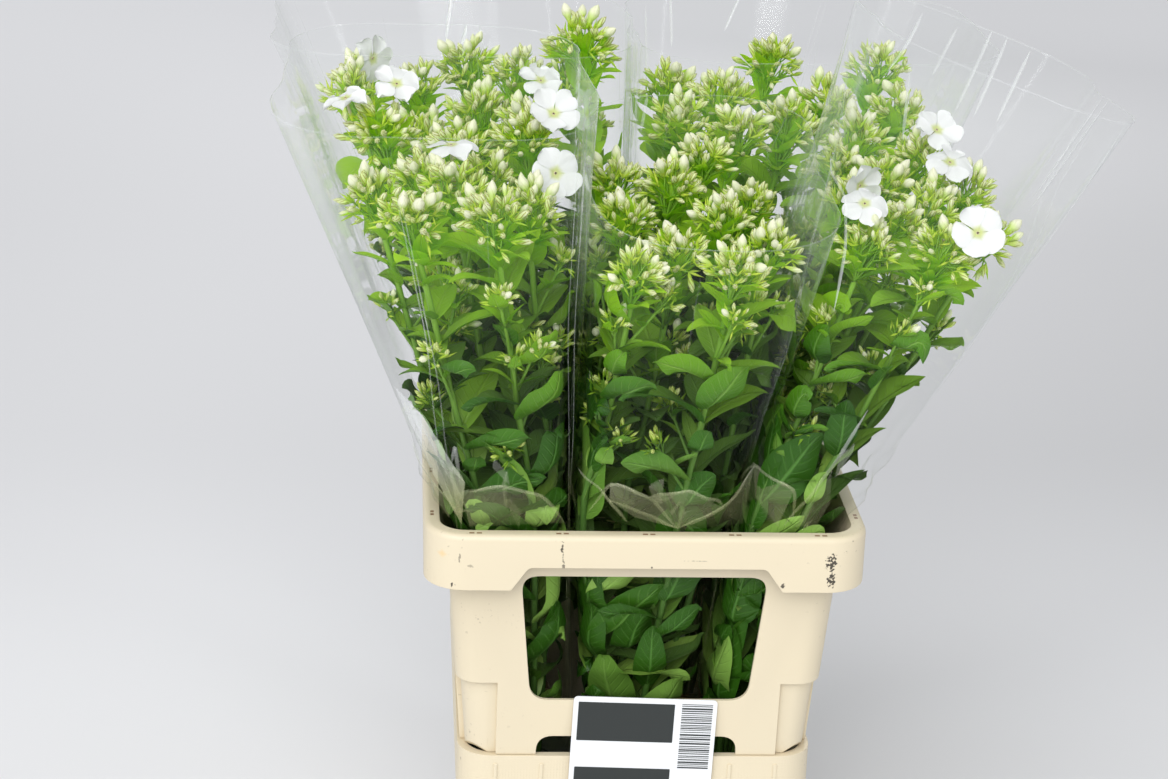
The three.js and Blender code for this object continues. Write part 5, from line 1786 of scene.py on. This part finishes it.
def add_stem(surface, stem, settings):
    """A round stem, a little swollen where its leaves grow."""
    rings, sides = len(stem.line), 6
    angles = np.arange(sides) * 2 * math.pi / sides
    radii = np.linspace(settings.stem, settings.stem * 0.72, rings)
    node = (stem.line[:, 2] - STRIPPED_Z) / settings.pair_step
    radii = radii * (1 + 0.14 * np.maximum(0, np.cos(2 * math.pi * node)) ** 4)
    ring = np.column_stack([np.cos(angles), np.sin(angles), np.zeros(sides)])
    tube = stem.line[:, None] + radii[:, None, None] * ring[None]
    surface.add(tube.reshape(-1, 3), grid_faces(rings, sides, closed=True))


class PHLOX_OT_foliage(bpy.types.Operator):
    """Grow the stems and the leaves of the five bunches"""

    bl_idname = "phlox.foliage"
    bl_label = "Stems and leaves"

    def execute(self, context):
        settings = context.scene.phlox_foliage
        leaf, green = leaf_material(settings), stem_material()
        for bunch in BUNCHES:
            draws = np.random.default_rng(bunch.seed)
            leaves, stems = Surface(), Surface()
            groups = []
            for stem in stems_of(bunch):
                add_stem(stems, stem, settings)
                groups.append(stem_leaves(bunch, stem, settings, draws))
                groups.append(head_leaves(stem.head, stem.lean, bunch.head_radius, draws))
            groups += [shoot_leaves(shoot, draws) for shoot in side_shoots(bunch)]
            add_leaves(leaves, bunch, together(groups), draws)
            dress(leaves.make(f"leaves_{bunch.name}", [leaf]), "foliage", f"bunch_{bunch.name}")
            dress(stems.make(f"stems_{bunch.name}", [green]), "foliage", f"bunch_{bunch.name}")
        return {"FINISHED"}


class PHLOX_OT_heads(bpy.types.Operator):
    """Grow the heads of buds and the small side heads"""

    bl_idname = "phlox.heads"
    bl_label = "Heads of buds"

    def execute(self, context):
        settings = context.scene.phlox_heads
        materials = [calyx_material(settings), bud_material(settings), stem_material()]
        for bunch in BUNCHES:
            draws = np.random.default_rng(bunch.seed + SEED_STEPS["heads"])
            surface = Surface()
            for head in stem_heads(bunch):
                add_head(surface, bunch, head, settings, draws)
            for shoot in side_shoots(bunch):
                head = side_head(shoot, draws)
                ends = (shoot.root[None], head.base[None])
                sticks(surface, *ends, STALK_RADIUS["side"], 0.4, STALK_SLOT, sides=5)
                add_head(surface, bunch, head, settings, draws)
            dress(surface.make(f"heads_{bunch.name}", materials), "foliage", f"bunch_{bunch.name}")
        return {"FINISHED"}


class PHLOX_OT_blooms(bpy.types.Operator):
    """Open the twelve blooms"""

    bl_idname = "phlox.blooms"
    bl_label = "Open blooms"

    def execute(self, context):
        settings = context.scene.phlox_blooms
        calyx = calyx_material(context.scene.phlox_heads)
        materials = [petal_material(settings), tube_material(settings), calyx]
        draws = np.random.default_rng(12)
        for number, (middle, facing) in enumerate(placed_blooms(settings), 1):
            surface = Surface()
            add_bloom(surface, middle, facing, settings, draws)
            dress(surface.make(f"open_bloom_{number:02d}", materials), "petal", f"bloom_{number:02d}")
        return {"FINISHED"}


class PHLOX_OT_sleeves(bpy.types.Operator):
    """Fold the film sleeves round the bunches"""

    bl_idname = "phlox.sleeves"
    bl_label = "Film sleeves"

    def execute(self, context):
        settings = context.scene.phlox_sleeves
        materials = [
            film_material("sleeve_film", haze=settings.haze, gloss=0.08, strength=0.85, mirror=1.0),
            # Welds are milky seams; the same finish on the folds paints their highlights.
            film_material("sleeve_weld", haze=0.26, gloss=0.20, strength=1.2, mirror=0.2),
            film_material("sleeve_fold", haze=0.08, gloss=0.12, strength=1.2, mirror=0.5),
            # Flaps: the milky haze is partly a painted highlight.
            film_material("sleeve_flap", haze=0.17, gloss=0.14, strength=0.9, mirror=0.1),
        ]
        for bunch in BUNCHES:
            dress(make_sleeve(bunch, settings, materials), "film", f"sleeve_{bunch.name}")
        return {"FINISHED"}


CAMERA_PLACE = (-0.168185, -1.841256, 1.090765)
CAMERA_YAW = math.radians(4.201)
CAMERA_PITCH = math.radians(19.468)
CAMERA_ROLL = math.radians(2.111)
CAMERA_SEES = 120.0
SENSOR_WIDTH = 36.0
FLOOR_HALF = 45.0
SKY_COLOUR = (0.97, 0.98, 1.0, 1.0)
LIT_POINT = (0.0, 0.0, 0.40)
SUN_PLACE = (-0.8, -2.2, 2.45)
SUN_ANGLE = math.radians(58)
STRIP_PLACES = ((-2.3, -1.3, 1.5), (2.2, -1.6, 1.4), (0.6, 2.5, 1.6), (-0.5, -2.7, 1.9))
STRIP_SHAPE = {"shape": "RECTANGLE", "size": 0.30, "size_y": 1.8}


def add_camera(lens):
    """A camera that looks down at the front of the container."""
    yaw, pitch = CAMERA_YAW, CAMERA_PITCH
    ahead = np.array([math.sin(yaw) * math.cos(pitch), math.cos(yaw) * math.cos(pitch), -math.sin(pitch)])
    right = np.array([math.cos(yaw), -math.sin(yaw), 0.0])
    up = np.cross(right, ahead)
    cos, sin = math.cos(CAMERA_ROLL), math.sin(CAMERA_ROLL)
    turn = np.column_stack([right * cos + up * sin, up * cos - right * sin, -ahead])
    data = bpy.data.cameras.new("camera")
    data.lens = lens
    data.sensor_width = SENSOR_WIDTH
    data.clip_end = CAMERA_SEES
    bpy.context.scene.camera = placed("camera", data, CAMERA_PLACE, turn)


def placed(name, data, place, turn):
    """An object at a place, turned by a matrix."""
    made = linked(name, data)
    made.matrix_world = Matrix.Translation(place) @ Matrix(turn.tolist()).to_4x4()
    return made


def add_lamp(name, kind, place, power, **shape):
    """A soft light at a place, facing the middle of the plants."""
    data = bpy.data.lights.new(name, kind)
    data.energy = power
    for key, value in shape.items():
        setattr(data, key, value)
    placed(name, data, place, frames_facing(np.subtract(place, LIT_POINT)[None])[0])


class PHLOX_OT_stage(bpy.types.Operator):
    """Set the floor, the surround, the lights and the camera"""

    bl_idname = "phlox.stage"
    bl_label = "Stage"

    def execute(self, context):
        settings = context.scene.phlox_stage
        surface = Surface()
        corners = [(FLOOR_HALF * x, FLOOR_HALF * y, 0) for x, y in QUARTERS]
        surface.add(np.array(corners), np.array([[0, 1, 2, 3]]))
        surface.make("floor", [floor_material(settings)])
        world = bpy.data.worlds.new("surround")
        world.use_nodes = True
        sky = world.node_tree.nodes["Background"]
        sky.inputs["Color"].default_value = SKY_COLOUR
        sky.inputs["Strength"].default_value = settings.sky
        context.scene.world = world
        context.scene.view_settings.view_transform = "Standard"
        add_lamp("front_light", "SUN", SUN_PLACE, settings.key, angle=SUN_ANGLE)
        for place in STRIP_PLACES:
            add_lamp("strip_light", "AREA", place, settings.strips, **STRIP_SHAPE)
        add_camera(settings.lens)
        return {"FINISHED"}


class PHLOX_PT_parts(bpy.types.Panel):
    """Shows each step's button and its settings"""

    bl_label = "Phlox"
    bl_idname = "PHLOX_PT_parts"
    bl_space_type = "VIEW_3D"
    bl_region_type = "UI"
    bl_category = "Phlox"

    def draw(self, context):
        for operator, group in STEPS:
            box = self.layout.box()
            box.operator(operator)
            settings = getattr(context.scene, group)
            for key in settings.bl_rna.properties.keys():
                if key not in ("rna_type", "name"):
                    box.prop(settings, key)


GROUPS = {
    "phlox_container": PHLOX_container_settings,
    "phlox_card": PHLOX_card_settings,
    "phlox_foliage": PHLOX_foliage_settings,
    "phlox_heads": PHLOX_head_settings,
    "phlox_blooms": PHLOX_bloom_settings,
    "phlox_sleeves": PHLOX_sleeve_settings,
    "phlox_stage": PHLOX_stage_settings,
}
STEPS = (
    ("phlox.stage", "phlox_stage"),
    ("phlox.container", "phlox_container"),
    ("phlox.card", "phlox_card"),
    ("phlox.foliage", "phlox_foliage"),
    ("phlox.heads", "phlox_heads"),
    ("phlox.blooms", "phlox_blooms"),
    ("phlox.sleeves", "phlox_sleeves"),
)
CLASSES = (*GROUPS.values(), PHLOX_OT_stage, PHLOX_OT_container, PHLOX_OT_card, PHLOX_OT_foliage,
           PHLOX_OT_heads, PHLOX_OT_blooms, PHLOX_OT_sleeves, PHLOX_PT_parts)


def register():
    for made in CLASSES:
        bpy.utils.register_class(made)
    for name, group in GROUPS.items():
        setattr(bpy.types.Scene, name, PointerProperty(type=group))


def unregister():
    for name in GROUPS:
        delattr(bpy.types.Scene, name)
    for made in reversed(CLASSES):
        bpy.utils.unregister_class(made)


def main():
    register()
    for operator, _ in STEPS:
        group, name = operator.split(".")
        getattr(getattr(bpy.ops, group), name)()


if __name__ == "__main__":
    main()
